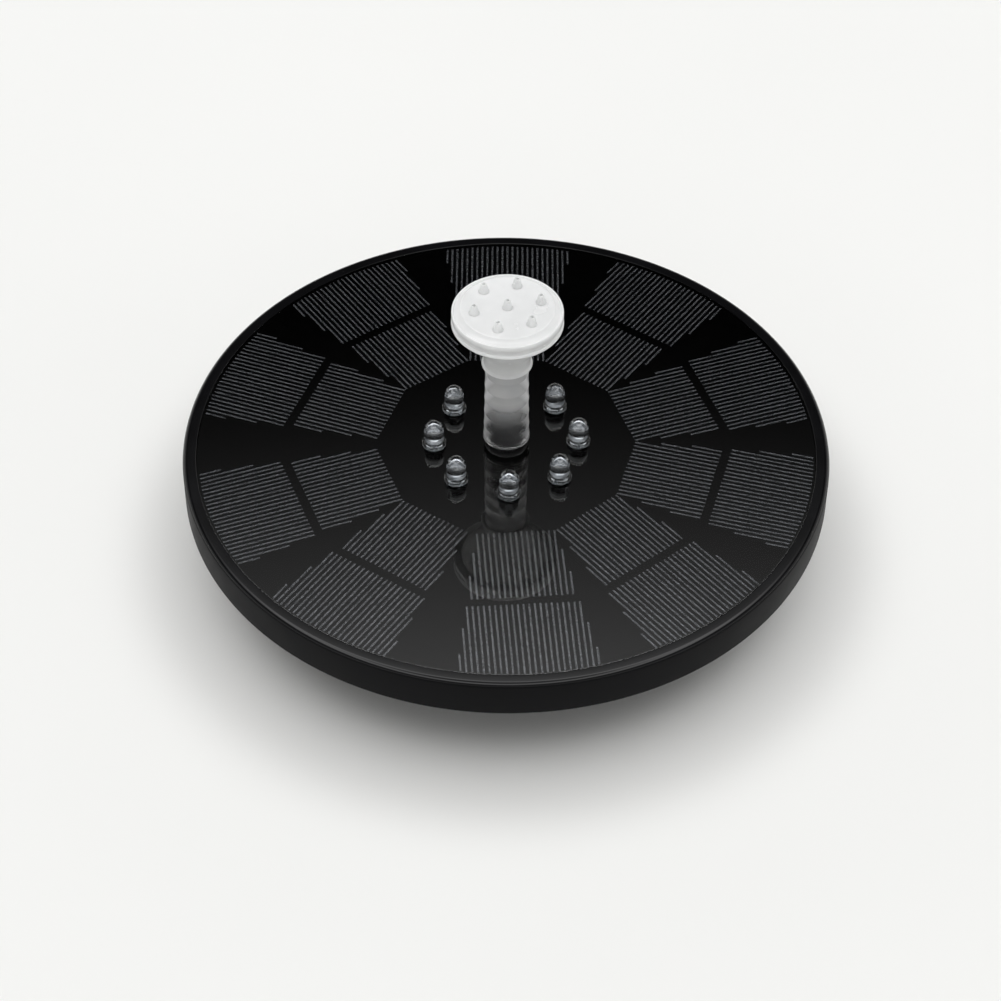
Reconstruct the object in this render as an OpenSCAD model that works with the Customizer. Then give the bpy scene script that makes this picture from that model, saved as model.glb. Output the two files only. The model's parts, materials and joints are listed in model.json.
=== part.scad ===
// Floating solar fountain pump: a round solar float with a ring of lamps, a submersible pump
// under it, and a riser with a spray head above it. Millimetres, +Z up, front towards -Y.
// The origin is the centre of the face that the strainer stands on.

/* [Float disc] */
// Diameter of the floating disc
disc_d = 180; // [172:1:220]
// Height of the disc's side wall
disc_h = 11.4; // [11:0.1:16]
// Wall thickness of the two shells
shell_t = 2; // [1.8:0.1:2.3]
// Thickness of the deck under the panel
deck_t = 1.9; // [1.6:0.1:2.2]
// Width of the rim lip round the panel
lip_w = 3.7; // [3:0.1:6]
// How far the rim lip stands above the glazing
lip_rise = 0.2; // [0.1:0.1:0.5]
// Radius on the disc's upper outer edge
top_round = 1.1; // [0.5:0.1:1.5]
// Radius on the disc's lower outer edge
low_round = 0.9; // [0.5:0.1:1.5]
// Width of the ledge that the lower shell seats on
ledge_w = 2.6; // [2.4:0.1:4]

/* [Lower shell] */
// Number of radial ribs under the float
rib_count = 16; // [8:4:24]
// Thickness of the ribs
rib_t = 1.6; // [1:0.1:2.4]
// Depth of the ribs
rib_h = 1.4; // [0.8:0.1:2.4]
// Radius of the ring rib as a share of the disc's radius
ring_rib_share = 0.778; // [0.74:0.002:0.8]
// Space left bare between the ribs and the disc's edge
rib_margin = 3.5; // [2:0.1:6]
// Thickness of the pads round the closing screws
pad_h = 1; // [0.6:0.1:1.4]

/* [Solar panel] */
// Thickness of the black backing board
board_t = 1.2; // [0.8:0.1:1.4]
// Thickness of a solar cell
cell_t = 0.3; // [0.2:0.1:0.5]
// Thickness of the clear glazing
glaze_t = 0.8; // [0.5:0.1:1]
// Chamfer on the glazing's upper edge
glaze_chamfer = 0.3; // [0.1:0.1:0.4]
// Number of cell petals round the panel
petal_count = 10; // [8:1:10]
// Angle of the first petal, which lies nearest the front
petal_start = -87.7; // [-90:0.1:-84]
// Angle from petal to petal as a share of an even spacing
petal_pitch_share = 0.975; // [0.96:0.005:0.99]
// Share of the angle left over that the wide gap on the left takes
wide_gap_share = 0.66; // [0.4:0.02:0.8]
// Gap between two inner cells at their narrow ends
petal_gap = 0.36; // [0.3:0.02:0.8]
// Width of a fine line
line_w = 0.5; // [0.3:0.05:0.6]
// Lines across an inner cell at its narrow end
inner_lines = 15; // [11:1:19]
// Lines across an outer cell at its narrow end
outer_lines = 21; // [15:1:21]
// Distance from the centre to the inner cells as a share of the disc's radius
inner_start_share = 0.3833; // [0.38:0.001:0.42]
// Length of an inner cell as a share of the disc's radius
inner_length_share = 0.2667; // [0.2:0.001:0.28]
// Gap between an inner and an outer cell
cell_gap = 2.6; // [2:0.1:4]
// Bare strip between the outer cells and the panel's edge
cell_margin = 0.7; // [0.4:0.1:3]

/* [Lamps] */
// Number of lamps on the panel
lamp_count = 8; // [6:1:8]
// Diameter of the circle that the lamps stand on
lamp_ring_d = 40.2; // [40:0.2:42]
// Diameter of a lamp's dome
lamp_d = 5.4; // [5:0.1:5.8]
// Height of a lamp above the glazing
lamp_h = 8.3; // [7.8:0.1:10]
// Diameter of a lamp's base flange
lamp_flange_d = 6.7; // [6.2:0.1:7.2]
// Height of a lamp's base flange
lamp_flange_h = 1.1; // [0.8:0.1:1.4]
// Thickness of a lamp's legs
leg_t = 0.5; // [0.4:0.05:0.6]
// Distance between a lamp's two legs
leg_pitch = 2.2; // [2:0.1:2.4]
// Diameter of the hole that the legs pass through
leg_hole_d = 4; // [3.6:0.1:4.4]
// Width of the ring board under the lamps
lamp_board_w = 11; // [9:0.1:12]
// Thickness of the circuit boards
pcb_t = 1.1; // [0.8:0.1:1.2]

/* [Outlet pipe] */
// Outer diameter of the outlet pipe
pipe_d = 9; // [8.6:0.1:9.2]
// Bore of the outlet pipe
pipe_bore_d = 6.6; // [6.2:0.1:6.8]
// Diameter of the black collar on the panel
collar_d = 12; // [11.6:0.1:12.4]
// Height of the black collar on the panel
collar_h = 3.2; // [2.4:0.1:4]
// Length of the neck that the riser plugs on to
neck_l = 11.4; // [8:0.1:14]

/* [Riser tube] */
// Length of the riser tube
riser_l = 33.8; // [28:0.1:60]
// Outer diameter of the riser tube at its foot
riser_foot_d = 12.5; // [12.2:0.1:12.8]
// Outer diameter of the riser tube in the head's socket
riser_top_d = 11.7; // [11.4:0.1:12]
// Diameter of the flared foot ring
foot_ring_d = 12.9; // [12.8:0.1:13.4]
// Height of the flared foot ring
foot_ring_h = 0.9; // [0.6:0.1:1.4]
// Distance from one fine ring on the riser to the next
riser_ring_pitch = 4.8; // [3:0.1:6]
// How far the fine rings stand out
riser_ring_rise = 0.18; // [0.1:0.02:0.3]

/* [Spray head] */
// Depth of the socket that takes the riser
socket_l = 7; // [5:0.1:9]
// Outer diameter of the socket
socket_d = 13; // [12.8:0.1:14]
// Diameter of the bead round the socket's mouth
bead_d = 13.7; // [13.2:0.1:14.4]
// Height of that bead
bead_h = 0.8; // [0.5:0.1:1.2]
// Height of the straight part of the socket
socket_h = 4.2; // [3:0.1:6]
// Height of the funnel between the socket and the flange
funnel_h = 10.3; // [8:0.1:14]
// Wall thickness of the head
head_t = 1.3; // [1:0.1:1.6]
// Diameter of the head's flange at its lower edge
flange_low_d = 28; // [26:0.1:28.6]
// Diameter of the head's flange at its upper edge
flange_top_d = 29.4; // [28.8:0.1:30]
// Height of the head's flange
flange_h = 2.4; // [1.8:0.1:3.4]
// Diameter of the spray cap
cap_d = 30.3; // [30:0.1:33]
// Height of the spray cap
cap_h = 3; // [2.4:0.1:4]
// Width of the bevel round the cap's top
cap_bevel_w = 1.9; // [1:0.1:2.6]
// Height of the bevel round the cap's top
cap_bevel_h = 1.4; // [0.8:0.1:1.8]
// Number of jets round the middle one
jet_count = 6; // [4:1:8]
// Diameter of the circle that the outer jets stand on
jet_ring_d = 18.4; // [14:0.1:20]
// Diameter of a jet cone at its base
jet_base_d = 3.2; // [2.4:0.1:3.6]
// Diameter of a jet cone at its tip
jet_tip_d = 1.5; // [1.3:0.1:1.8]
// Height of a jet cone
jet_h = 2.6; // [1.8:0.1:3.6]
// Diameter of a jet's hole
jet_hole_d = 0.9; // [0.6:0.1:1]
// Turn of the jets against the front
jet_turn = 12; // [0:1:59]

/* [Pump] */
// Distance from the disc's underside to the rest face
pump_drop = 26; // [25:0.5:40]
// Outer diameter of the pump housing
housing_d = 64; // [63:0.5:68]
// Wall thickness of the pump housing
housing_t = 2; // [1.6:0.1:2.2]
// How far the flange that meets the float stands out from the housing
pump_flange_w = 2; // [1.5:0.1:3]
// Thickness of that flange
pump_flange_t = 2.6; // [2:0.1:3.4]
// Gap between the stator and the walls on either side of it
stator_gap = 0.65; // [0.6:0.05:1]
// Gap between the impeller and the volute's wall
impeller_gap = 1.6; // [1:0.1:3]
// Height of the impeller's vanes
vane_h = 2.2; // [1.6:0.1:2.3]
// Number of impeller vanes
vane_count = 6; // [4:1:8]
// Depth of the volute chamber
volute_h = 3.8; // [3.6:0.1:4.4]
// Radius of the volute chamber as a share of the stator's radius
volute_share = 0.93; // [0.9:0.01:0.96]
// Width of the volute's discharge channel
channel_w = 4.4; // [3.6:0.1:5]
// Thickness of the roof over the volute
roof_t = 1.6; // [1.2:0.1:2.4]
// Gap between the rotor magnet and its can
magnet_gap = 0.6; // [0.5:0.1:1]
// Length of the rotor magnet
magnet_l = 8.6; // [7:0.1:8.8]
// Inner radius of the rotor can as a share of the stator's radius
can_share = 0.579; // [0.56:0.001:0.59]
// Wall thickness of the rotor can
can_t = 0.8; // [0.6:0.1:0.85]
// Height of the rotor can above the volute's roof
can_h = 10.6; // [10.4:0.1:11.4]
// Diameter of the fixed rotor shaft
shaft_d = 2; // [1.6:0.1:2.4]
// Thickness of the stator's outer ring as a share of its radius
stator_ring_share = 0.13; // [0.1:0.01:0.14]
// Height of the stator core
stator_h = 6; // [5:0.1:6.4]
// Number of stator poles
pole_count = 4; // [3:1:4]
// Width of a stator pole
pole_w = 3.4; // [2.4:0.1:3.6]
// Thickness of the windings round a pole
coil_t = 1; // [0.6:0.1:1.1]

/* [Volute cover and strainer] */
// Thickness of the volute cover
cover_t = 2; // [1.8:0.1:2.6]
// Diameter of the inlet eye
eye_d = 10; // [9:0.1:11]
// Wall thickness of the strainer
strainer_t = 2; // [1.6:0.1:2.6]
// Thickness of the strainer's floor
floor_t = 1.8; // [1.4:0.1:2.6]
// Height of the strainer
strainer_h = 12.4; // [12.2:0.1:13]
// Number of slots round the strainer
slot_count = 36; // [24:1:40]
// Width of a strainer slot
slot_w = 2.4; // [1.6:0.1:2.6]
// Thickness of the filter sponge
sponge_t = 3.6; // [3:0.1:5]
// Angle that the strainer turns through to come off
lock_turn = 20; // [12:1:24]

/* [Battery and control] */
// Length of the battery pouch
battery_l = 52; // [40:0.5:53]
// Width of the control board as a share of the room beside the pump
control_share = 0.84; // [0.7:0.01:0.86]
// Length of the control board
control_l = 28; // [24:0.5:30]
// Diameter of the power button
button_d = 8; // [6.5:0.1:9]
// How far the power button stands out
button_rise = 0.6; // [0.4:0.1:1]
// Travel of the power button
button_travel = 0.6; // [0.3:0.1:0.7]
// Outer diameter of the insulated leads
lead_d = 1.1; // [0.8:0.1:1.2]

/* [Fasteners and seals] */
// Number of screws that close the float
case_screw_count = 8; // [6:1:8]
// Number of screws that hold the pump
pump_screw_count = 4; // [3:1:4]
// Diameter of a screw's shank
shank_d = 2.5; // [2:0.1:2.6]
// Diameter of a screw's head
head_d = 4.8; // [4.2:0.1:5]
// Height of a screw's head
head_h = 1.2; // [0.9:0.1:1.3]
// Diameter of the bosses that take screws
boss_d = 6.4; // [6:0.1:7]
// Width of the flat sealing rings
seal_w = 1; // [0.8:0.1:1.1]
// Height of the flat sealing rings
seal_h = 0.9; // [0.6:0.1:1]

/* [Clearances] */
// Gap round parts that are laid in and stay put
lay_gap = 0.1; // [0.05:0.01:0.15]
// Gap round parts that slide or turn on each other
run_gap = 0.06; // [0.04:0.01:0.08]
// Gap round soft parts and turning covers
soft_gap = 0.3; // [0.2:0.05:0.4]

/* [Hidden] */
$fn = 96;
cut = 1;

// Heights, from the rest face upwards
sponge_z = floor_t;
cover_z = sponge_z + sponge_t + soft_gap;
housing_z = cover_z + cover_t;
roof_z = housing_z + volute_h;
slab_z = roof_z + roof_t;
can_top = slab_z + can_h;
can_roof = can_top - can_t;
disc_z = pump_drop;
rim_z = disc_z + disc_h;
chamber_z = disc_z + shell_t;
glaze_top = rim_z - lip_rise;
glaze_z = glaze_top - glaze_t;
cell_z = glaze_z - cell_t;
board_z = cell_z - board_t;
deck_z = board_z - deck_t;
chamber_h = deck_z - chamber_z;
riser_z = glaze_top + collar_h;
neck_top = riser_z + neck_l;
riser_top = riser_z + riser_l;
head_z = riser_top - socket_l;
funnel_z = head_z + socket_h;
flange_z = funnel_z + funnel_h;
cap_z = flange_z + flange_h;
cap_top = cap_z + cap_h;

// Radii of the float
disc_r = disc_d / 2;
skirt_r = disc_r - shell_t;
ledge_r = skirt_r - ledge_w;
plate_r = skirt_r - lay_gap;
lip_r = disc_r - lip_w;
ring_rib_r = disc_r * ring_rib_share;
panel_r = lip_r - lay_gap;
case_seal_r = skirt_r - ledge_w / 2;
pipe_r = pipe_d / 2;
pipe_hole_r = pipe_r + lay_gap;

// Closing screws of the float
boss_r = boss_d / 2;
case_screw_r = ledge_r - boss_r - 2 * lay_gap;
case_screw_turn = 180 / case_screw_count;
pilot_r = shank_d / 2 + lay_gap;
pilot_tip = deck_t / 2;
cross_w = shank_d / 4;
cross_l = head_d * 0.55;
cross_h = head_h * 0.6;

// Cells
step_shares = [1, 0.7, 0.35];
inner_r = disc_r * inner_start_share;
inner_l = disc_r * inner_length_share;
outer_r = inner_r + inner_l + cell_gap;
cell_end_r = panel_r - cell_margin;
even_turn = 360 / petal_count;
petal_turn = even_turn * petal_pitch_share;
late_petals = 2;
wide_gap_turn = (even_turn - petal_turn) * petal_count * wide_gap_share;
petal_w = 2 * inner_r * tan(petal_turn / 2);
line_pitch = (petal_w - petal_gap - line_w) / (inner_lines - 1);

// Lamps and their board
lamp_r = lamp_ring_d / 2;
lamp_angle = 360 / lamp_count;
flange_flat = lamp_flange_d * 0.44;
leg_gap = lay_gap / 2;
anvil_w = lamp_d * 0.32;
anvil_h = lamp_h * 0.14;
anvil_z = glaze_top + lamp_h * 0.42;
rod_top = glaze_top + lamp_h * 0.5;
lamp_board_r = lamp_r + lamp_board_w / 2;
lamp_board_hole_r = lamp_r - lamp_board_w / 2;
hang_h = chamber_h * 0.14;
hung_pcb_z = deck_z - hang_h - pcb_t;
leg_tail = pcb_t / 2;
leg_bottom = hung_pcb_z - leg_tail;
board_screw_d = 1.8;
board_screw_head_d = 3.2;
board_screw_head_h = 0.9;
board_screw_count = 4;
board_screw_l = pcb_t + hang_h + deck_t * 0.6;
hang_post_r = board_screw_head_d / 2;

// Outlet pipe in the pump housing
column_r = pipe_r + can_t + lay_gap + leg_t;
duct_r = pipe_bore_d / 2 + lay_gap;
pipe_foot = (slab_z + disc_z) / 2;
pipe_seal_z = pipe_foot + seal_w;
pipe_groove_r = pipe_r - seal_w / 2;
neck_chamfer = seal_w / 2;

// Riser and head
riser_bore_r = pipe_r + run_gap;
riser_top_r = riser_top_d / 2;
riser_foot_r = riser_foot_d / 2;
ring_w = riser_ring_pitch / 8;
ring_count = floor((head_z - riser_z - riser_ring_pitch / 2) / riser_ring_pitch);
socket_bore_r = riser_top_r + run_gap;
socket_r = socket_d / 2;
flange_low_r = flange_low_d / 2;
flange_top_r = flange_top_d / 2;
flange_bevel = head_t * 0.4;
stop_t = head_t * 0.7;
stop_z = riser_top + lay_gap;
plug_r = flange_low_r - head_t - lay_gap;
plug_t = head_t;
plug_h = flange_h * 0.6;
cap_r = cap_d / 2;
cap_lip = head_t * 0.4;
cap_t = head_t;

// Pump
housing_r = housing_d / 2;
cavity_r = housing_r - housing_t;
pump_flange_r = housing_r + pump_flange_w;
pump_flange_z = disc_z - pump_flange_t;
pump_seal_r = pump_flange_r - seal_w * 2;
ear_r = boss_r;
ear_ring_r = pump_flange_r + ear_r / 2;
ear_turn = 45;
pump_boss_h = chamber_h * 0.62;
cover_r = housing_r - soft_gap;
cover_seal_r = housing_r - housing_t;
cover_screw_turns = [60, 150, 210, 300];
cover_screw_r = housing_r * 0.8;
cover_screw_l = volute_h * 0.9;
stator_r = (cavity_r - column_r) / 2 - stator_gap;
rotor_x = (cavity_r + column_r) / 2;
volute_r = stator_r * volute_share;
impeller_r = volute_r - impeller_gap;
channel_y = volute_r - channel_w / 2;
channel_turn = atan2(channel_y, rotor_x);
channel_l = sqrt(pow(rotor_x, 2) + pow(channel_y, 2));
can_bore_r = stator_r * can_share;
can_r = can_bore_r + can_t;
magnet_r = can_bore_r - magnet_gap;
shaft_r = shaft_d / 2;
bush_r = shaft_r * 2;
bush_h = shaft_d * 0.6;
hub_r = shaft_r * 2.6;
spider_r = bush_r + housing_t / 2;
spoke_w = eye_d * 0.14;
bush_low_z = housing_z - bush_h / 2;
bush_low_top = bush_low_z + bush_h;
bush_high_z = can_roof - bush_h;
hub_z = bush_low_top + soft_gap;
vane_t = can_t;
wheel_t = can_t;
wheel_z = roof_z - 2 * run_gap - soft_gap - wheel_t;
vane_z = wheel_z - vane_h;
vane_turn = 35;
hub_top = bush_high_z - soft_gap;
stator_ring_t = stator_r * stator_ring_share;
stator_z = slab_z + coil_t;
magnet_z = stator_z + stator_h / 2 - magnet_l / 2;
pole_r = can_r + lay_gap;
coil_r0 = pole_r + soft_gap;
coil_r1 = stator_r - stator_ring_t - soft_gap * 2;
motor_pcb_z = stator_z + stator_h + coil_t + soft_gap;
motor_pcb_r = cavity_r - soft_gap;
post_r = housing_t;
post_ring_r = cavity_r * 0.78;
post_turns = [110, 180, 250];
chip_l = pole_w * 1.6;
chip_h = pcb_t;

// Strainer
strainer_bore_r = housing_r + soft_gap;
strainer_r = strainer_bore_r + strainer_t;
strainer_round = strainer_t * 0.6;
lug_count = 3;
lug_h = 1.6;
lug_gap = soft_gap / 2;
lug_depth = 0.9;
lug_z = strainer_h - lug_h - soft_gap;
lug_turn = 12;
track_z = lug_z - lug_gap;
track_h = lug_h + 2 * lug_gap;
track_play = 1;
lug_r = strainer_bore_r - soft_gap - lug_depth;
prop_w = slot_w * 0.7;
prop_count = 12;
prop_r = strainer_bore_r - housing_t - soft_gap * 3;
sponge_r = prop_r - soft_gap;
slot_z = floor_t;
slot_h = cover_z - floor_t;
rest_ring_w = strainer_r * 0.24;
rest_recess = floor_t / 3;
floor_slot_rings = 3;
floor_slot_count = 6;
floor_rim_share = 0.4;
floor_slot_l = (strainer_r - rest_ring_w) * 0.22;
floor_slot_step = (strainer_r - rest_ring_w) / (floor_slot_rings + floor_rim_share);
grip_count = 48;
grip_rise = soft_gap * 1.5;
grip_h = strainer_h - cover_z - strainer_round;

// Battery, control board and button
bay_gap = 4.6;
tray_t = rib_t * 0.7;
tray_h = chamber_h * 0.3;
bay_r = pump_flange_r + ear_r + bay_gap;
screw_room_r = case_screw_r - boss_r;
tray_y = battery_l / 2 + tray_t + lay_gap;
battery_room = sqrt(pow(screw_room_r, 2) - pow(tray_y, 2)) - bay_r;
battery_w = battery_room - 2 * tray_t - 2 * lay_gap - soft_gap;
battery_x = -(bay_r + tray_t + lay_gap + battery_w / 2);
pad_foam_t = chamber_h * 0.08;
battery_t = chamber_h - 2 * pad_foam_t;
battery_round = battery_w * 0.06;
control_w = (sqrt(pow(screw_room_r, 2) - pow(control_l / 2, 2)) - bay_r) * control_share;
control_x = bay_r + control_w / 2;
control_hole_share = 0.82;
switch_w = button_d * 0.75;
plunger_r = switch_w * 0.25;
button_r = button_d / 2;
button_lip_w = button_r * 0.2;
button_lip_h = head_h / 2;
switch_z = chamber_z + button_lip_h + button_travel + lay_gap;
plunger_l = (hung_pcb_z - switch_z) * 0.5;
guard_w = rib_t * 0.75;
guard_gap = button_r * 0.4;
tab_w = battery_l * 0.1;
lead_low_z = chamber_z + lead_d * 1.2;
lead_pitch = lead_d * 1.8;
grommet_r = lead_pitch * 1.3;
grommet_t = housing_t / 2;
grommet_lip = pad_foam_t;
feed_x = rotor_x + can_r;
feed_y = -(can_r + grommet_r + housing_t);
panel_feed_x = control_x + control_w * 0.1;
panel_feed_y = control_l / 2 + grommet_r + housing_t;
feed_r = lead_pitch;

// A flat ring between two radii and two heights
module ring(r_in, r_out, z_low, z_high) {
    translate([0, 0, z_low]) difference() {
        cylinder(r = r_out, h = z_high - z_low);
        translate([0, 0, -cut]) cylinder(r = r_in, h = z_high - z_low + 2 * cut);
    }
}

// A round bore from one height to another
module bore(r, z_low, z_high) {
    translate([0, 0, z_low]) cylinder(r = r, h = z_high - z_low);
}

// Copies of the children round the centre, the first at the front when the start is -90
module around(count, radius, start) {
    for (i = [0 : count - 1]) rotate(start + i * 360 / count) translate([radius, 0, 0]) children();
}

// A screw that points up, its head's outer face at height zero
module screw(d, length, cap_diameter, cap_height) {
    difference() {
        union() {
            cylinder(d = cap_diameter, h = cap_height);
            cylinder(d = d, h = cap_height + length);
        }
        for (turn = [0, 90]) rotate(turn) {
            translate([-cross_l * cap_diameter / head_d / 2, -cross_w / 2, -cut])
                cube([cross_l * cap_diameter / head_d, cross_w, cut + cross_h]);
        }
    }
}

// A box with upright edges rounded
module pad_box(size_x, size_y, size_z, radius) {
    translate([-size_x / 2 + radius, -size_y / 2, 0]) cube([size_x - 2 * radius, size_y, size_z]);
    translate([-size_x / 2, -size_y / 2 + radius, 0]) cube([size_x, size_y - 2 * radius, size_z]);
    for (sx = [-1, 1], sy = [-1, 1])
        translate([sx * (size_x / 2 - radius), sy * (size_y / 2 - radius), 0])
            cylinder(r = radius, h = size_z);
}

// A round lead that follows a list of points
module lead(points) {
    for (i = [0 : len(points) - 2]) {
        step = points[i + 1] - points[i];
        run = norm(step);
        translate(points[i]) rotate([0, acos(step.z / run), atan2(step.y, step.x)])
            cylinder(d = lead_d, h = run);
    }
    for (i = [1 : len(points) - 2]) translate(points[i]) sphere(d = lead_d);
}

// The float's upper shell: side wall, rim lip, deck and screw bosses
module upper_case() {
    color("#17171a") difference() {
        union() {
            rotate_extrude() upper_section();
            around(case_screw_count, case_screw_r, case_screw_turn)
                bore(boss_r, chamber_z + pad_h, board_z);
            around(board_screw_count, lamp_r, lamp_angle / 2)
                bore(hang_post_r, deck_z - hang_h, board_z);
            control_corners() bore(hang_post_r, deck_z - hang_h, board_z);
        }
        around(case_screw_count, case_screw_r, case_screw_turn)
            bore(pilot_r, disc_z, deck_z + pilot_tip);
        around(lamp_count, lamp_r, -90) bore(leg_hole_d / 2, deck_z - cut, rim_z);
        bore(pipe_hole_r, deck_z - cut, rim_z);
        ring(case_seal_r - seal_w / 2 - lay_gap, case_seal_r + seal_w / 2 + lay_gap, chamber_z - cut,
            chamber_z + seal_h);
        around(board_screw_count, lamp_r, lamp_angle / 2)
            bore(board_screw_d / 2 + leg_gap, deck_z - hang_h - cut, deck_z + deck_t * 0.7);
        control_corners() bore(board_screw_d / 2 + leg_gap, deck_z - hang_h - cut, deck_z + deck_t * 0.7);
        translate([panel_feed_x, panel_feed_y, 0]) bore(feed_r, deck_z - cut, rim_z);
    }
}

// Half of the upper shell's section, for turning
module upper_section() {
    translate([ledge_r, chamber_z]) square([skirt_r - ledge_r, deck_z - chamber_z]);
    translate([0, deck_z]) square([skirt_r, deck_t]);
    difference() {
        union() {
            translate([skirt_r, disc_z + low_round]) square([shell_t, disc_h - low_round - top_round]);
            translate([skirt_r, disc_z]) square([shell_t - low_round, disc_h]);
            translate([lip_r, deck_z]) square([lip_w - top_round, rim_z - deck_z]);
            translate([disc_r - low_round, disc_z + low_round]) circle(r = low_round);
            translate([disc_r - top_round, rim_z - top_round]) circle(r = top_round);
        }
    }
}

// Copies of the children at the control board's four fixing points
module control_corners() {
    for (sx = [-1, 1], sy = [-1, 1])
        translate([control_x + sx * control_w / 2 * control_hole_share,
            sy * control_l / 2 * control_hole_share, 0]) children();
}

// The float's lower shell: floor plate, ribs, pump bosses and battery tray
module lower_case() {
    color("#1b1b1e") difference() {
        union() {
            bore(plate_r, disc_z, chamber_z);
            lower_ribs();
            around(case_screw_count, case_screw_r, case_screw_turn)
                bore(boss_r, disc_z, chamber_z + pad_h);
            around(pump_screw_count, ear_ring_r, ear_turn)
                bore(boss_r, disc_z, chamber_z + pump_boss_h);
            battery_tray();
            translate([control_x, 0, 0]) button_guard();
        }
        around(case_screw_count, case_screw_r, case_screw_turn) {
            bore(pilot_r, disc_z - cut, chamber_z + pad_h + cut);
            bore(head_d / 2 + lay_gap, disc_z - cut, disc_z + head_h);
        }
        around(pump_screw_count, ear_ring_r, ear_turn)
            bore(pilot_r, disc_z - cut, chamber_z + pump_boss_h * 0.8);
        bore(pipe_hole_r, disc_z - cut, chamber_z + cut);
        translate([feed_x, feed_y, 0]) bore(grommet_r, disc_z - cut, chamber_z + cut);
        translate([control_x, 0, 0])
            bore(button_r + lay_gap, disc_z - rib_h - cut, chamber_z + cut);
    }
}

// Ribs on the underside of the float
module lower_ribs() {
    rib_start = bay_r;
    ring(ring_rib_r - rib_t / 2, ring_rib_r + rib_t / 2, disc_z - rib_h, disc_z + cut);
    ring(bay_r - rib_t / 2, bay_r + rib_t / 2, disc_z - rib_h, disc_z + cut);
    rib_l = plate_r - rib_margin - rib_start;
    difference() {
        around(rib_count, rib_start, 180 / rib_count)
            translate([0, -rib_t / 2, disc_z - rib_h]) cube([rib_l, rib_t, rib_h + cut]);
        around(case_screw_count, case_screw_r, case_screw_turn)
            bore(boss_r + rib_t / 2, disc_z - rib_h - cut, disc_z);
    }
}

// Low walls that keep the battery in place
module battery_tray() {
    translate([battery_x, 0, chamber_z - cut]) difference() {
        translate([0, 0, tray_h / 2 + cut / 2])
            cube([battery_w + 2 * tray_t + 2 * lay_gap, 2 * tray_y, tray_h + cut], center = true);
        translate([0, 0, tray_h / 2 + cut])
            cube([battery_w + 2 * lay_gap, battery_l + 2 * lay_gap, tray_h + 2 * cut], center = true);
    }
}

// Raised ring that keeps the power button from being pressed by accident
module button_guard() {
    ring(button_r + guard_gap, button_r + guard_gap + guard_w, disc_z - rib_h, disc_z + cut);
}

module case_seal() {
    color("#2c2c2c")
        ring(case_seal_r - seal_w / 2, case_seal_r + seal_w / 2, chamber_z, chamber_z + seal_h);
}

module case_screws() {
    length = deck_z - disc_z - head_h;
    color("silver") around(case_screw_count, case_screw_r, case_screw_turn)
        translate([0, 0, disc_z]) screw(shank_d, length, head_d, head_h);
}

// Holes that the pipe and the lamps' legs need in the panel's layers
module panel_holes(z_low, z_high) {
    bore(pipe_hole_r, z_low - cut, z_high + cut);
    around(lamp_count, lamp_r, -90) bore(leg_hole_d / 2, z_low - cut, z_high + cut);
}

module panel_board() {
    color("#050506") difference() {
        bore(panel_r, board_z, cell_z);
        panel_holes(board_z, cell_z);
    }
}

// One cell whose sides step in towards the centre by whole lines, as its fine lines do
module cell(lines, r_start, r_end) {
    length = r_end - r_start;
    for (i = [0 : len(step_shares) - 1]) {
        width = (lines - 1 + 2 * i) * line_pitch + line_w;
        translate([r_end - length * step_shares[i], -width / 2, cell_z])
            cube([length * step_shares[i], width, cell_t]);
    }
}

// Copies of a cell round the panel, the last ones past the wide gap
module petals() {
    for (i = [0 : petal_count - 1]) {
        extra = i < petal_count - late_petals ? 0 : wide_gap_turn;
        rotate(petal_start + i * petal_turn + extra) children();
    }
}

module inner_cells() {
    color("#101013") petals() cell(inner_lines, inner_r, inner_r + inner_l);
}

module outer_cells() {
    color("#101013") intersection() {
        petals() cell(outer_lines, outer_r, panel_r);
        bore(cell_end_r, cell_z - cut, glaze_z + cut);
    }
}

module panel_glazing() {
    color("#9aa0a8", 0.35) difference() {
        union() {
            bore(panel_r, glaze_z, glaze_top - glaze_chamfer);
            translate([0, 0, glaze_top - glaze_chamfer])
                cylinder(r1 = panel_r, r2 = panel_r - glaze_chamfer, h = glaze_chamfer);
        }
        panel_holes(glaze_z, glaze_top);
    }
}

// The two metal legs of one lamp, the taller with the cup that carries its light
module leg_pair(gap) {
    side = leg_t + 2 * gap;
    translate([leg_pitch / 2 - side / 2, -side / 2, leg_bottom])
        cube([side, side, rod_top + gap - leg_bottom]);
    translate([-leg_pitch / 2 - side / 2, -side / 2, leg_bottom])
        cube([side, side, anvil_z + gap - leg_bottom]);
    translate([-leg_pitch / 2 - side / 2, -anvil_w / 2 - gap, anvil_z - gap])
        cube([anvil_w + 2 * gap, anvil_w + 2 * gap, anvil_h + 2 * gap]);
}

module lamp_domes() {
    color("#d8e0e8", 0.5) around(lamp_count, lamp_r, -90) difference() {
        union() {
            bore(lamp_d / 2, glaze_top, glaze_top + lamp_h - lamp_d / 2);
            translate([0, 0, glaze_top + lamp_h - lamp_d / 2]) sphere(d = lamp_d);
            intersection() {
                bore(lamp_flange_d / 2, glaze_top, glaze_top + lamp_flange_h);
                translate([-lamp_flange_d, -flange_flat, glaze_top - cut])
                    cube([2 * lamp_flange_d, flange_flat + lamp_flange_d, lamp_flange_h + 2 * cut]);
            }
        }
        leg_pair(leg_gap);
    }
}

module lamp_legs() {
    color("silver") around(lamp_count, lamp_r, -90) leg_pair(0);
}

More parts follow.
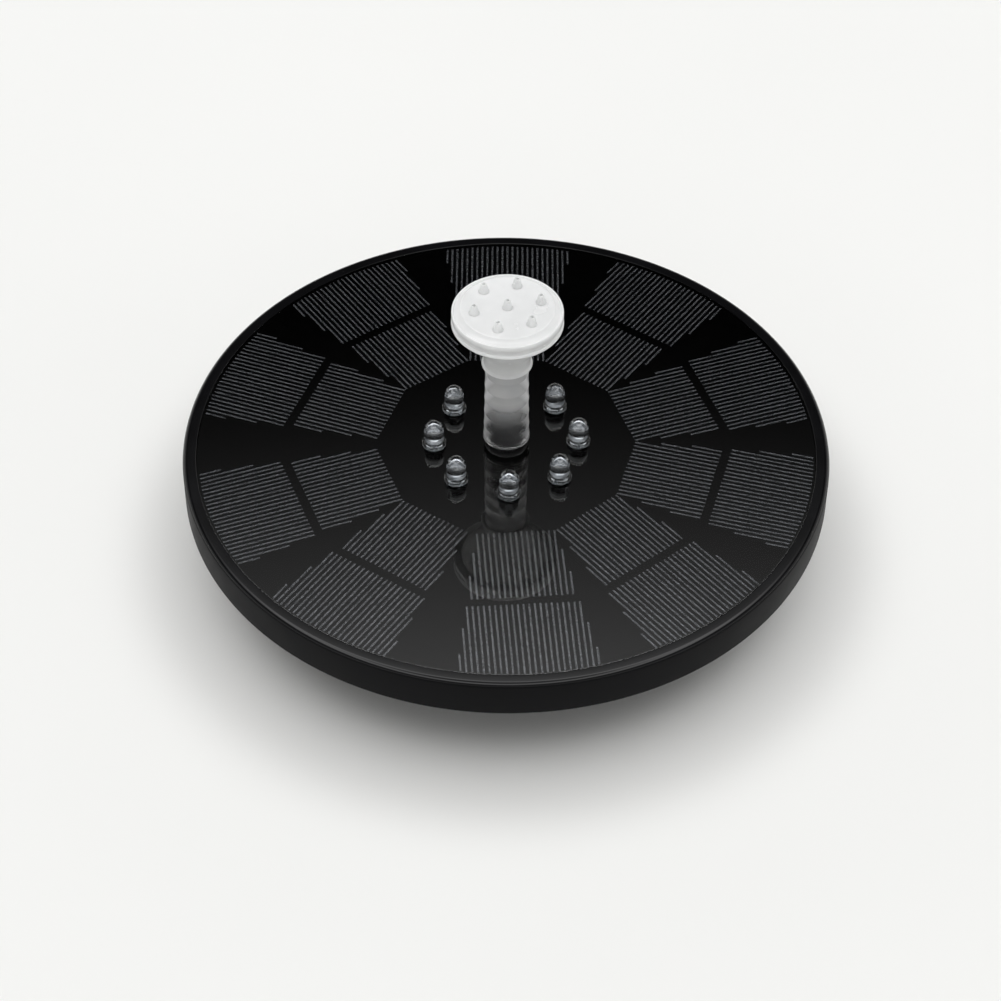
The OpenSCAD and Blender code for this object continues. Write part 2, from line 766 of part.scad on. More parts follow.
module lamp_board() {
    color("darkgreen") difference() {
        ring(lamp_board_hole_r, lamp_board_r, hung_pcb_z, hung_pcb_z + pcb_t);
        around(lamp_count, lamp_r, -90) for (side = [-1, 1])
            translate([side * leg_pitch / 2, 0, 0]) bore(leg_t, hung_pcb_z - cut, hung_pcb_z + pcb_t + cut);
        around(board_screw_count, lamp_r, lamp_angle / 2)
            bore(board_screw_d / 2 + leg_gap, hung_pcb_z - cut, hung_pcb_z + pcb_t + cut);
    }
}

module board_screws() {
    color("silver") {
        around(board_screw_count, lamp_r, lamp_angle / 2) translate([0, 0, hung_pcb_z - board_screw_head_h])
            screw(board_screw_d, board_screw_l, board_screw_head_d, board_screw_head_h);
        control_corners() translate([0, 0, hung_pcb_z - board_screw_head_h])
            screw(board_screw_d, board_screw_l, board_screw_head_d, board_screw_head_h);
    }
}

module battery_pouch() {
    color("#b9bcc2") translate([battery_x, 0, chamber_z + pad_foam_t])
        pad_box(battery_w, battery_l, battery_t, battery_round);
}

// Foam tape above and below the battery
module battery_pads() {
    color("#303033") for (z = [chamber_z, deck_z - pad_foam_t])
        translate([battery_x, 0, z]) pad_box(battery_w * 0.8, battery_l * 0.8, pad_foam_t, battery_round);
}

module control_board() {
    color("darkgreen") difference() {
        translate([control_x, 0, hung_pcb_z + pcb_t / 2])
            cube([control_w, control_l, pcb_t], center = true);
        control_corners() bore(board_screw_d / 2 + leg_gap, hung_pcb_z - cut, hung_pcb_z + pcb_t + cut);
    }
}

// Charging chip, coil and plug sockets under the control board
module control_parts() {
    color("#202024") {
        translate([control_x - control_w * 0.22, -control_l * 0.3, hung_pcb_z - chip_h])
            cube([chip_l, chip_l * 0.7, chip_h]);
        translate([control_x + control_w * 0.28, control_l * 0.2, 0])
            bore(chip_l / 2, hung_pcb_z - chip_h * 1.6, hung_pcb_z);
        translate([control_x + control_w * 0.1, -control_l * 0.34, hung_pcb_z - chip_h])
            cube([chip_l * 0.6, chip_l * 0.6, chip_h]);
    }
}

module switch_body() {
    color("#c8c8c8") difference() {
        translate([control_x - switch_w / 2, -switch_w / 2, switch_z])
            cube([switch_w, switch_w, hung_pcb_z - switch_z]);
        translate([control_x, 0, 0])
            bore(plunger_r + run_gap, switch_z - cut, switch_z + plunger_l + button_travel);
    }
}

module switch_plunger() {
    color("#202020") translate([control_x, 0, 0])
        bore(plunger_r, chamber_z + button_lip_h, switch_z + plunger_l - lay_gap);
}

// The power button, kept in by a lip that rests inside the lower shell
module power_button() {
    color("#3a3a3e") translate([control_x, 0, 0]) {
        bore(button_r, disc_z - button_rise + low_round / 2, chamber_z + button_lip_h);
        translate([0, 0, disc_z - button_rise])
            cylinder(r1 = button_r - low_round / 2, r2 = button_r, h = low_round / 2);
        bore(button_r + button_lip_w, chamber_z, chamber_z + button_lip_h);
    }
}

module panel_leads() {
    color("red") for (side = [-1, 1])
        lead([[panel_feed_x + side * lead_pitch / 2, panel_feed_y, board_z],
            [panel_feed_x + side * lead_pitch / 2, panel_feed_y, lead_low_z],
            [panel_feed_x + side * lead_pitch / 2, control_l * 0.4, lead_low_z],
            [panel_feed_x + side * lead_pitch / 2, control_l * 0.4, hung_pcb_z]]);
}

module battery_leads() {
    start = [battery_x + battery_w / 2, tab_w, chamber_z + chamber_h / 2];
    turn_x = start.x + tray_t + lead_pitch * 2;
    bend_y = pump_flange_r + ear_r;
    end = [control_x - control_w * 0.3, control_l * 0.22];
    color("firebrick") for (side = [0, 1]) {
        off = side * lead_pitch;
        lead([[start.x, start.y + off, start.z],
            [turn_x - off, start.y + off, start.z],
            [turn_x - off, start.y + off, lead_low_z],
            [turn_x - off, bend_y + off, lead_low_z],
            [end.x + off, bend_y + off, lead_low_z],
            [end.x + off, end.y, lead_low_z],
            [end.x + off, end.y, hung_pcb_z]]);
    }
}

module lamp_leads() {
    foot_x = lamp_board_r * 0.88;
    color("gold") for (side = [0, 1]) {
        y_off = side * lead_pitch;
        lead([[foot_x, y_off, hung_pcb_z],
            [foot_x, y_off, lead_low_z],
            [control_x - control_w * 0.42, y_off, lead_low_z],
            [control_x - control_w * 0.42, y_off, hung_pcb_z]]);
    }
}

module pump_leads() {
    color("dimgray") for (side = [-1, 1]) {
        y = feed_y + side * lead_pitch / 2;
        lead([[feed_x, y, motor_pcb_z + pcb_t],
            [feed_x, y, lead_low_z],
            [control_x - control_w * 0.2, y, lead_low_z],
            [control_x - control_w * 0.2, y, hung_pcb_z]]);
    }
}

// Rubber bush that seals the pump's leads in the lower shell
module lead_grommet() {
    color("#222222") difference() {
        translate([feed_x, feed_y, 0]) {
            bore(grommet_r - lay_gap, disc_z, chamber_z);
            bore(grommet_r + grommet_t, chamber_z, chamber_z + grommet_lip);
        }
        for (side = [-1, 1]) translate([feed_x, feed_y + side * lead_pitch / 2, 0])
            bore(lead_d / 2 + leg_gap, disc_z - cut, chamber_z + grommet_lip + cut);
    }
}

// The black outlet pipe, from the pump up through the panel, with the neck for the riser
module outlet_pipe() {
    color("#0c0c0d") difference() {
        union() {
            bore(pipe_r, pipe_foot + lay_gap, neck_top - neck_chamfer);
            translate([0, 0, neck_top - neck_chamfer])
                cylinder(r1 = pipe_r, r2 = pipe_r - neck_chamfer, h = neck_chamfer);
            bore(collar_d / 2, glaze_top, riser_z - cap_lip);
            translate([0, 0, riser_z - cap_lip])
                cylinder(r1 = collar_d / 2, r2 = collar_d / 2 - cap_lip / 2, h = cap_lip);
        }
        bore(pipe_bore_d / 2, pipe_foot - cut, neck_top + cut);
        ring(pipe_groove_r, pipe_r + cut, pipe_seal_z, pipe_seal_z + seal_w + 2 * lay_gap);
        ring(pipe_r - run_gap, pipe_r + seal_w * 0.8, glaze_top - cut, glaze_top + seal_h * 0.8);
    }
}

module outlet_seals() {
    color("#2c2c2c") {
        ring(pipe_groove_r + run_gap, pipe_r, pipe_seal_z + lay_gap, pipe_seal_z + lay_gap + seal_w);
        ring(pipe_r, pipe_r + seal_w * 0.7, glaze_top, glaze_top + seal_h * 0.8);
    }
}

// The clear riser, which plugs on to the neck and carries the head
module riser_tube() {
    color("#dfe3e6", 0.6) difference() {
        union() {
            translate([0, 0, riser_z + foot_ring_h])
                cylinder(r1 = riser_foot_r, r2 = riser_top_r, h = head_z - riser_z - foot_ring_h);
            bore(foot_ring_d / 2, riser_z, riser_z + foot_ring_h);
            bore(riser_top_r, head_z, riser_top);
            for (i = [1 : ring_count]) riser_ring(riser_z + i * riser_ring_pitch);
        }
        bore(riser_bore_r, riser_z - cut, riser_top + cut);
    }
}

// One fine raised ring on the riser
module riser_ring(z) {
    share = (z - riser_z - foot_ring_h) / (head_z - riser_z - foot_ring_h);
    r = riser_foot_r + (riser_top_r - riser_foot_r) * share + riser_ring_rise;
    bore(r, z - ring_w / 2, z + ring_w / 2);
}

// The head's socket, funnel and flange
module nozzle_head() {
    color("#eef0f2", 0.9) rotate_extrude() polygon([
        [socket_bore_r, head_z],
        [bead_d / 2 - flange_bevel / 2, head_z],
        [bead_d / 2, head_z + bead_h / 2],
        [socket_r, head_z + bead_h],
        [socket_r, funnel_z],
        [flange_low_r - head_t, flange_z],
        [flange_low_r, flange_z],
        [flange_top_r, cap_z - flange_bevel],
        [flange_top_r - flange_bevel, cap_z],
        [plug_r + lay_gap, cap_z],
        [plug_r + lay_gap, flange_z + flange_bevel],
        [riser_bore_r, stop_z + stop_t],
        [riser_bore_r, stop_z],
        [socket_bore_r, stop_z]]);
}

// The spray cap with its jets
module spray_cap() {
    color("#f2f4f6", 0.9) difference() {
        union() {
            rotate_extrude() polygon([
                [0, cap_top - cap_t],
                [plug_r - plug_t, cap_top - cap_t],
                [plug_r - plug_t, cap_z - plug_h],
                [plug_r, cap_z - plug_h],
                [plug_r, cap_z],
                [cap_r - cap_lip / 2, cap_z],
                [cap_r, cap_z + cap_lip / 2],
                [cap_r, cap_top - cap_bevel_h],
                [cap_r - cap_bevel_w * 0.3, cap_top - cap_bevel_h * 0.4],
                [cap_r - cap_bevel_w, cap_top],
                [0, cap_top]]);
            jet_places() translate([0, 0, cap_top - cap_t / 2])
                cylinder(d1 = jet_base_d, d2 = jet_tip_d, h = jet_h + cap_t / 2);
        }
        jet_places() bore(jet_hole_d / 2, cap_top - cap_t - cut, cap_top + jet_h + cut);
    }
}

// Copies of the children at the middle jet and the ring of jets
module jet_places() {
    children();
    around(jet_count, jet_ring_d / 2, jet_turn) children();
}

// Housing of the pump: volute below, rotor can, outlet column and flange above
module pump_housing() {
    color("#131315") difference() {
        union() {
            bore(housing_r, housing_z, disc_z);
            bore(pump_flange_r, pump_flange_z, disc_z);
            around(pump_screw_count, ear_ring_r, ear_turn) bore(ear_r, pump_flange_z, disc_z);
        }
        motor_space();
        translate([0, 0, housing_z - cut]) linear_extrude(volute_h + cut) volute_outline();
        translate([rotor_x, 0, 0]) bore(can_bore_r, roof_z - cut, can_roof);
        bore(duct_r, housing_z - cut, disc_z + cut);
        bore(pipe_hole_r, pipe_foot, disc_z + cut);
        around(pump_screw_count, ear_ring_r, ear_turn)
            bore(pilot_r, pump_flange_z - cut, disc_z + cut);
        ring(pump_seal_r - seal_w / 2 - lay_gap, pump_seal_r + seal_w / 2 + lay_gap, disc_z - seal_h,
            disc_z + cut);
        ring(cover_seal_r - seal_w / 2 - lay_gap, cover_seal_r + seal_w / 2 + lay_gap, housing_z - cut,
            housing_z + seal_h);
        cover_screw_places()
            bore(board_screw_d / 2 + leg_gap, housing_z - cut, housing_z + cover_screw_l + lay_gap);
        bayonet_tracks();
    }
    color("#131315") translate([rotor_x, 0, 0])
        ring(bush_r + leg_gap, bush_r + can_t, bush_high_z, can_roof);
}

// The volute's round chamber and the channel from it to the outlet
module volute_outline() {
    translate([rotor_x, 0]) circle(r = volute_r);
    rotate(channel_turn) translate([0, -channel_w / 2]) square([channel_l, channel_w]);
}

// The dry space round the rotor can and the outlet column
module motor_space() {
    difference() {
        bore(cavity_r, slab_z, disc_z + cut);
        translate([rotor_x, 0, 0]) bore(can_r, slab_z - cut, can_top);
        bore(column_r, slab_z - cut, disc_z + cut);
        for (turn = post_turns) rotate(turn) translate([post_ring_r, 0, 0])
            bore(post_r, slab_z - cut, motor_pcb_z);
    }
}

// Tracks in the housing that the strainer's lugs turn in
module bayonet_tracks() {
    for (i = [0 : lug_count - 1]) rotate(i * 360 / lug_count) {
        wedge_ring(lug_r - soft_gap, housing_r + cut, track_z, track_z + track_h,
            -lug_turn / 2 - track_play, lug_turn / 2 + track_play + lock_turn);
        wedge_ring(lug_r - soft_gap, housing_r + cut, housing_z - cut, track_z + track_h,
            lock_turn - lug_turn / 2 - track_play, lock_turn + lug_turn / 2 + track_play);
    }
}

// Part of a flat ring between two angles less than half a turn apart
module wedge_ring(r_in, r_out, z_low, z_high, from, to) {
    reach = 2 * r_out;
    translate([0, 0, z_low]) linear_extrude(z_high - z_low) intersection() {
        difference() {
            circle(r = r_out);
            circle(r = r_in);
        }
        polygon([
            [0, 0],
            [reach * cos(from), reach * sin(from)],
            [reach * cos((from + to) / 2), reach * sin((from + to) / 2)],
            [reach * cos(to), reach * sin(to)]]);
    }
}

module pump_seal() {
    color("#2c2c2c") ring(pump_seal_r - seal_w / 2, pump_seal_r + seal_w / 2, disc_z - seal_h, disc_z);
}

module pump_screws() {
    length = disc_z - pump_flange_z + shell_t + pump_boss_h * 0.7;
    color("silver") around(pump_screw_count, ear_ring_r, ear_turn)
        translate([0, 0, pump_flange_z - head_h]) screw(shank_d, length, head_d, head_h);
}

// Steel stack of the motor: an outer ring with poles that point at the rotor
module stator_core() {
    color("#8a8f96") translate([rotor_x, 0, 0]) difference() {
        union() {
            ring(stator_r - stator_ring_t, stator_r, stator_z, stator_z + stator_h);
            around(pole_count, 0, 0) translate([0, -pole_w / 2, stator_z])
                cube([stator_r - stator_ring_t / 2, pole_w, stator_h]);
        }
        bore(pole_r, stator_z - cut, stator_z + stator_h + cut);
    }
}

// One winding round each pole
module stator_coils() {
    color("#b5651d") translate([rotor_x, 0, 0]) around(pole_count, 0, 0) difference() {
        translate([coil_r0, -pole_w / 2 - coil_t, stator_z - coil_t])
            cube([coil_r1 - coil_r0, pole_w + 2 * coil_t, stator_h + 2 * coil_t]);
        translate([coil_r0 - cut, -pole_w / 2 - leg_gap, stator_z - leg_gap])
            cube([coil_r1 - coil_r0 + 2 * cut, pole_w + 2 * leg_gap, stator_h + 2 * leg_gap]);
    }
}

module motor_board() {
    color("darkgreen") difference() {
        bore(motor_pcb_r, motor_pcb_z, motor_pcb_z + pcb_t);
        translate([rotor_x, 0, 0]) bore(can_r + lay_gap, motor_pcb_z - cut, motor_pcb_z + pcb_t + cut);
        bore(column_r + lay_gap, motor_pcb_z - cut, motor_pcb_z + pcb_t + cut);
    }
}

// Driver chip and capacitors on the motor board
module motor_parts() {
    color("#202024") {
        translate([-cavity_r / 2, -chip_l / 2, motor_pcb_z + pcb_t]) cube([chip_l, chip_l, chip_h]);
        for (side = [-1, 1]) translate([-cavity_r / 2, side * chip_l * 1.6, 0])
            bore(chip_l * 0.3, motor_pcb_z + pcb_t, motor_pcb_z + pcb_t + chip_h);
    }
}

module rotor_shaft() {
    color("#d0d0d4") translate([rotor_x, 0, 0])
        bore(shaft_r, bush_low_z + bush_h / 2, can_roof - bush_h / 2);
}

// Rubber cups that hold the two ends of the shaft
module shaft_bushes() {
    color("#222222") translate([rotor_x, 0, 0]) {
        difference() {
            bore(bush_r, bush_low_z, bush_low_top);
            bore(shaft_r, bush_low_z + bush_h / 2, bush_low_top + cut);
        }
        difference() {
            bore(bush_r, bush_high_z, can_roof);
            bore(shaft_r, bush_high_z - cut, can_roof - bush_h / 2);
        }
    }
}

// Impeller wheel with its sleeve, which turns on the fixed shaft
module impeller() {
    vane_start = spider_r + soft_gap + vane_t / 2;
    color("#e8e8ea") translate([rotor_x, 0, 0]) difference() {
        union() {
            bore(hub_r, hub_z, hub_top);
            bore(impeller_r, wheel_z, wheel_z + wheel_t);
            intersection() {
                around(vane_count, vane_start, 0) rotate(-vane_turn)
                    translate([0, -vane_t / 2, vane_z])
                        cube([2 * impeller_r, vane_t, vane_h + wheel_t / 2]);
                bore(impeller_r, vane_z - cut, wheel_z + wheel_t);
            }
        }
        bore(shaft_r + run_gap, hub_z - cut, hub_top + cut);
    }
}

module rotor_magnet() {
    color("#3b3b40") translate([rotor_x, 0, 0])
        ring(hub_r + leg_gap, magnet_r, magnet_z, magnet_z + magnet_l);
}

// Plate that closes the volute, with the inlet eye and the spider for the lower bush
module volute_cover() {
    color("#19191c") difference() {
        union() {
            difference() {
                bore(cover_r, cover_z, housing_z);
                translate([rotor_x, 0, 0]) bore(eye_d / 2, cover_z - cut, housing_z + cut);
            }
            translate([rotor_x, 0, 0]) {
                bore(spider_r, cover_z, bush_low_top - leg_gap);
                around(lug_count, 0, 0) translate([0, -spoke_w / 2, cover_z])
                    cube([eye_d / 2 + spoke_w, spoke_w, cover_t / 2]);
            }
        }
        translate([rotor_x, 0, 0]) bore(bush_r + leg_gap, bush_low_z, housing_z + bush_h + cut);
        cover_screw_places() {
            bore(board_screw_d / 2 + leg_gap, cover_z - cut, housing_z + cut);
            bore(board_screw_head_d / 2 + leg_gap, cover_z - cut, cover_z + board_screw_head_h);
        }
    }
}

// Copies of the children at the volute cover's screws
module cover_screw_places() {
    for (turn = cover_screw_turns) rotate(turn) translate([cover_screw_r, 0, 0]) children();
}

module cover_seal() {
    color("#2c2c2c")
        ring(cover_seal_r - seal_w / 2, cover_seal_r + seal_w / 2, housing_z, housing_z + seal_h);
}

module cover_screws() {
    length = cover_t - board_screw_head_h + cover_screw_l - lay_gap;
    color("silver") cover_screw_places() translate([0, 0, cover_z])
        screw(board_screw_d, length, board_screw_head_d, board_screw_head_h);
}

// The turn-off strainer: slotted cup with props for the pump and lugs for the tracks
module strainer_cover() {
    color("#1a1a1d") difference() {
        union() {
            ring(strainer_bore_r, strainer_r, strainer_round, strainer_h);
            bore(strainer_r - strainer_round, 0, floor_t);
            rotate_extrude() intersection() {
                translate([strainer_r - strainer_round, strainer_round]) circle(r = strainer_round);
                translate([strainer_bore_r - cut, 0]) square([strainer_t + 2 * cut, strainer_round]);
            }
            bore(strainer_r - strainer_round, 0, strainer_round);
            for (i = [0 : lug_count - 1]) rotate(i * 360 / lug_count)
                wedge_ring(lug_r, strainer_bore_r + strainer_t / 2, lug_z, lug_z + lug_h, -lug_turn / 2,
                    lug_turn / 2);
            around(prop_count, 0, 180 / slot_count) translate([prop_r, -prop_w / 2, floor_t / 2])
                cube([strainer_bore_r + strainer_t / 2 - prop_r, prop_w, cover_z - floor_t / 2]);
            around(grip_count, strainer_r, 0)
                bore(grip_rise, strainer_h - grip_h, strainer_h - strainer_round / 2);
        }
        around(slot_count, strainer_bore_r - soft_gap, 0)
            translate([0, -slot_w / 2, slot_z]) cube([strainer_t + cut, slot_w, slot_h]);
        bore(strainer_r - rest_ring_w, -cut, rest_recess);
        for (k = [1 : floor_slot_rings])
            around(floor_slot_count * k, floor_slot_step * k, 180 / slot_count)
                translate([-floor_slot_l / 2, -slot_w / 2, -cut])
                    cube([floor_slot_l, slot_w, floor_t + 2 * cut]);
    }
}

module filter_sponge() {
    color("#26262a") bore(sponge_r, sponge_z, sponge_z + sponge_t);
}

upper_case();
lower_case();
case_seal();
case_screws();
panel_board();
inner_cells();
outer_cells();
panel_glazing();
lamp_domes();
lamp_legs();
lamp_board();
board_screws();
battery_pouch();
battery_pads();
control_board();
control_parts();
switch_body();
switch_plunger();
power_button();
panel_leads();
battery_leads();
lamp_leads();
pump_leads();
lead_grommet();
outlet_pipe();
outlet_seals();
riser_tube();
nozzle_head();
spray_cap();
pump_housing();
pump_seal();
pump_screws();
stator_core();
stator_coils();
motor_board();
motor_parts();
rotor_shaft();
shaft_bushes();
impeller();
rotor_magnet();
volute_cover();
cover_seal();
cover_screws();
strainer_cover();
filter_sponge();
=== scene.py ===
import json
import math

import bpy
from mathutils import Matrix, Vector


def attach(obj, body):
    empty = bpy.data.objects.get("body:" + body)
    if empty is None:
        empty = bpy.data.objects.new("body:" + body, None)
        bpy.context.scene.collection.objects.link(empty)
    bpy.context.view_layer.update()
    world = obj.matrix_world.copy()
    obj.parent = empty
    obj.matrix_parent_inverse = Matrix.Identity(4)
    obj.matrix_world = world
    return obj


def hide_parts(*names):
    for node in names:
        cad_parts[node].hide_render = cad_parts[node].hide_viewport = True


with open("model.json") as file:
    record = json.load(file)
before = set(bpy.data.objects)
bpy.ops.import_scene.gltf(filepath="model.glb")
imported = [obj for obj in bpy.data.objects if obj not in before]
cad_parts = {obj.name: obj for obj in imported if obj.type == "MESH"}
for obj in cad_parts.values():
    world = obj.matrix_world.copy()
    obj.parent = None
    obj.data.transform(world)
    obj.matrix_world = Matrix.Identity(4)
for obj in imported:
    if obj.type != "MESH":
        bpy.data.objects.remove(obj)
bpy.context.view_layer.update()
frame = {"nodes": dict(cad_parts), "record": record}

mm = 0.001
print("frame loaded:", len(frame["nodes"]), "CAD nodes")


# Selects just these pieces, with the first one active, in object mode
def selectPieces(pieces=()):
    if bpy.context.object and bpy.context.object.mode != "OBJECT":
        bpy.ops.object.mode_set(mode="OBJECT")
    bpy.ops.object.select_all(action="DESELECT")
    for piece in pieces:
        piece.select_set(True)
    if pieces:
        bpy.context.view_layer.objects.active = pieces[0]


# The linear colour of an sRGB hex value
def fromHex(code):
    parts = [int(code[i:i + 2], 16) / 255 for i in (1, 3, 5)]
    return [c / 12.92 if c <= 0.04045 else ((c + 0.055) / 1.055) ** 2.4 for c in parts] + [1]


# Adds a node. Settings go to its properties or its inputs, and links feed its inputs.
def addNode(tree, kind, settings=None, links=None):
    node = tree.nodes.new(kind)
    for key, value in (settings or {}).items():
        if isinstance(key, str) and hasattr(node, key):
            setattr(node, key, value)
        else:
            node.inputs[key].default_value = value
    for key, source in (links or {}).items():
        tree.links.new(source, node.inputs[key])
    return node


# How the patterns are read: a noise node's values lie mostly between these, and a wave node
# draws about pi bands for each unit of its scale
pattern = {"patchDetail": 4.0, "grainDetail": 2.0, "toneFrom": 0.35, "toneTo": 0.65,
           "roughFrom": 0.3, "roughTo": 0.7, "waveBands": math.pi}


# A finish: two close colours in patches, a roughness that varies, and a grain that lifts the
# surface. patch and grain are real sizes in mm, and lift is the grain's height in mm.
def makeFinish(name, facts):
    material = bpy.data.materials.new(name)
    material.use_nodes = True
    tree = material.node_tree
    shader = tree.nodes["Principled BSDF"]
    place = addNode(tree, "ShaderNodeTexCoord").outputs["Object"]
    patches = addNode(tree, "ShaderNodeTexNoise",
                      {"Scale": 1 / (facts["patch"] * mm), "Detail": pattern["patchDetail"]},
                      {"Vector": place}).outputs["Fac"]
    grain = None
    grainScale = 1 / (facts["grain"] * mm) if facts.get("grain") else 0
    if facts.get("bands"):  # wound wire, stacked steel or drawn lines run in bands
        grain = addNode(tree, "ShaderNodeTexWave",
                        {"wave_type": "BANDS", "bands_direction": facts["bands"],
                         "Scale": grainScale / pattern["waveBands"],
                         "Distortion": facts.get("waver", 0.0)}, {"Vector": place}).outputs["Fac"]
    elif facts.get("cells"):  # foam pores or board tracks
        grain = addNode(tree, "ShaderNodeTexVoronoi",
                        {"feature": "DISTANCE_TO_EDGE", "Scale": grainScale},
                        {"Vector": place}).outputs["Distance"]
    elif grainScale:
        grain = addNode(tree, "ShaderNodeTexNoise",
                        {"Scale": grainScale, "Detail": pattern["grainDetail"]},
                        {"Vector": place}).outputs["Fac"]
    toned = addNode(tree, "ShaderNodeMapRange",
                    {"From Min": facts.get("from", pattern["toneFrom"]),
                     "From Max": facts.get("to", pattern["toneTo"])},
                    {"Value": grain if facts.get("tone") == "grain" else patches})
    colours = addNode(tree, "ShaderNodeMix",
                      {"data_type": "RGBA", 6: fromHex(facts["colour"]),
                       7: fromHex(facts["second"])}, {0: toned.outputs["Result"]})
    tree.links.new(colours.outputs[2], shader.inputs["Base Color"])
    if facts.get("rough"):
        rough = addNode(tree, "ShaderNodeMapRange",
                        {"From Min": pattern["roughFrom"], "From Max": pattern["roughTo"],
                         "To Min": facts["rough"][0], "To Max": facts["rough"][1]},
                        {"Value": patches})
        tree.links.new(rough.outputs["Result"], shader.inputs["Roughness"])
    if facts.get("lift"):
        bump = addNode(tree, "ShaderNodeBump",
                       {"Strength": 1.0, "Distance": facts["lift"] * mm}, {"Height": grain})
        tree.links.new(bump.outputs["Normal"], shader.inputs["Normal"])
    if facts.get("paintedLight"):
        # painted light: the riser shows whiter towards the top and along its edges
        addPaintedLight(tree, shader, place, facts["paintedLight"])
    for key, value in facts.get("sockets", {}).items():
        shader.inputs[key].default_value = value
    return material


# Painted light: a clear wall that passes less light upwards, so it shows whiter towards the top,
# and whiter still edge on
def addPaintedLight(tree, shader, place, paintedLight):
    height = addNode(tree, "ShaderNodeSeparateXYZ", {}, {0: place}).outputs["Z"]
    climb = addNode(tree, "ShaderNodeMapRange",
                    {"From Min": paintedLight["clearTo"] * mm, "From Max": paintedLight["topFrom"] * mm},
                    {"Value": height})
    eased = addNode(tree, "ShaderNodeMath", {"operation": "POWER", 1: paintedLight["ease"]},
                    {0: climb.outputs["Result"]})
    middle = addNode(tree, "ShaderNodeMapRange", {"To Min": paintedLight["clear"], "To Max": paintedLight["topPassing"]},
                     {"Value": eased.outputs["Value"]})
    facing = addNode(tree, "ShaderNodeLayerWeight", {"Blend": 0.5}).outputs["Facing"]
    edge = addNode(tree, "ShaderNodeMapRange",
                   {"From Min": paintedLight["edgeFrom"], "From Max": paintedLight["edgeFull"],
                    "To Max": paintedLight["edge"]}, {"Value": facing})
    passing = addNode(tree, "ShaderNodeMath", {"operation": "SUBTRACT", "use_clamp": True},
                      {0: middle.outputs["Result"], 1: edge.outputs["Result"]})
    tree.links.new(passing.outputs["Value"], shader.inputs["Transmission Weight"])


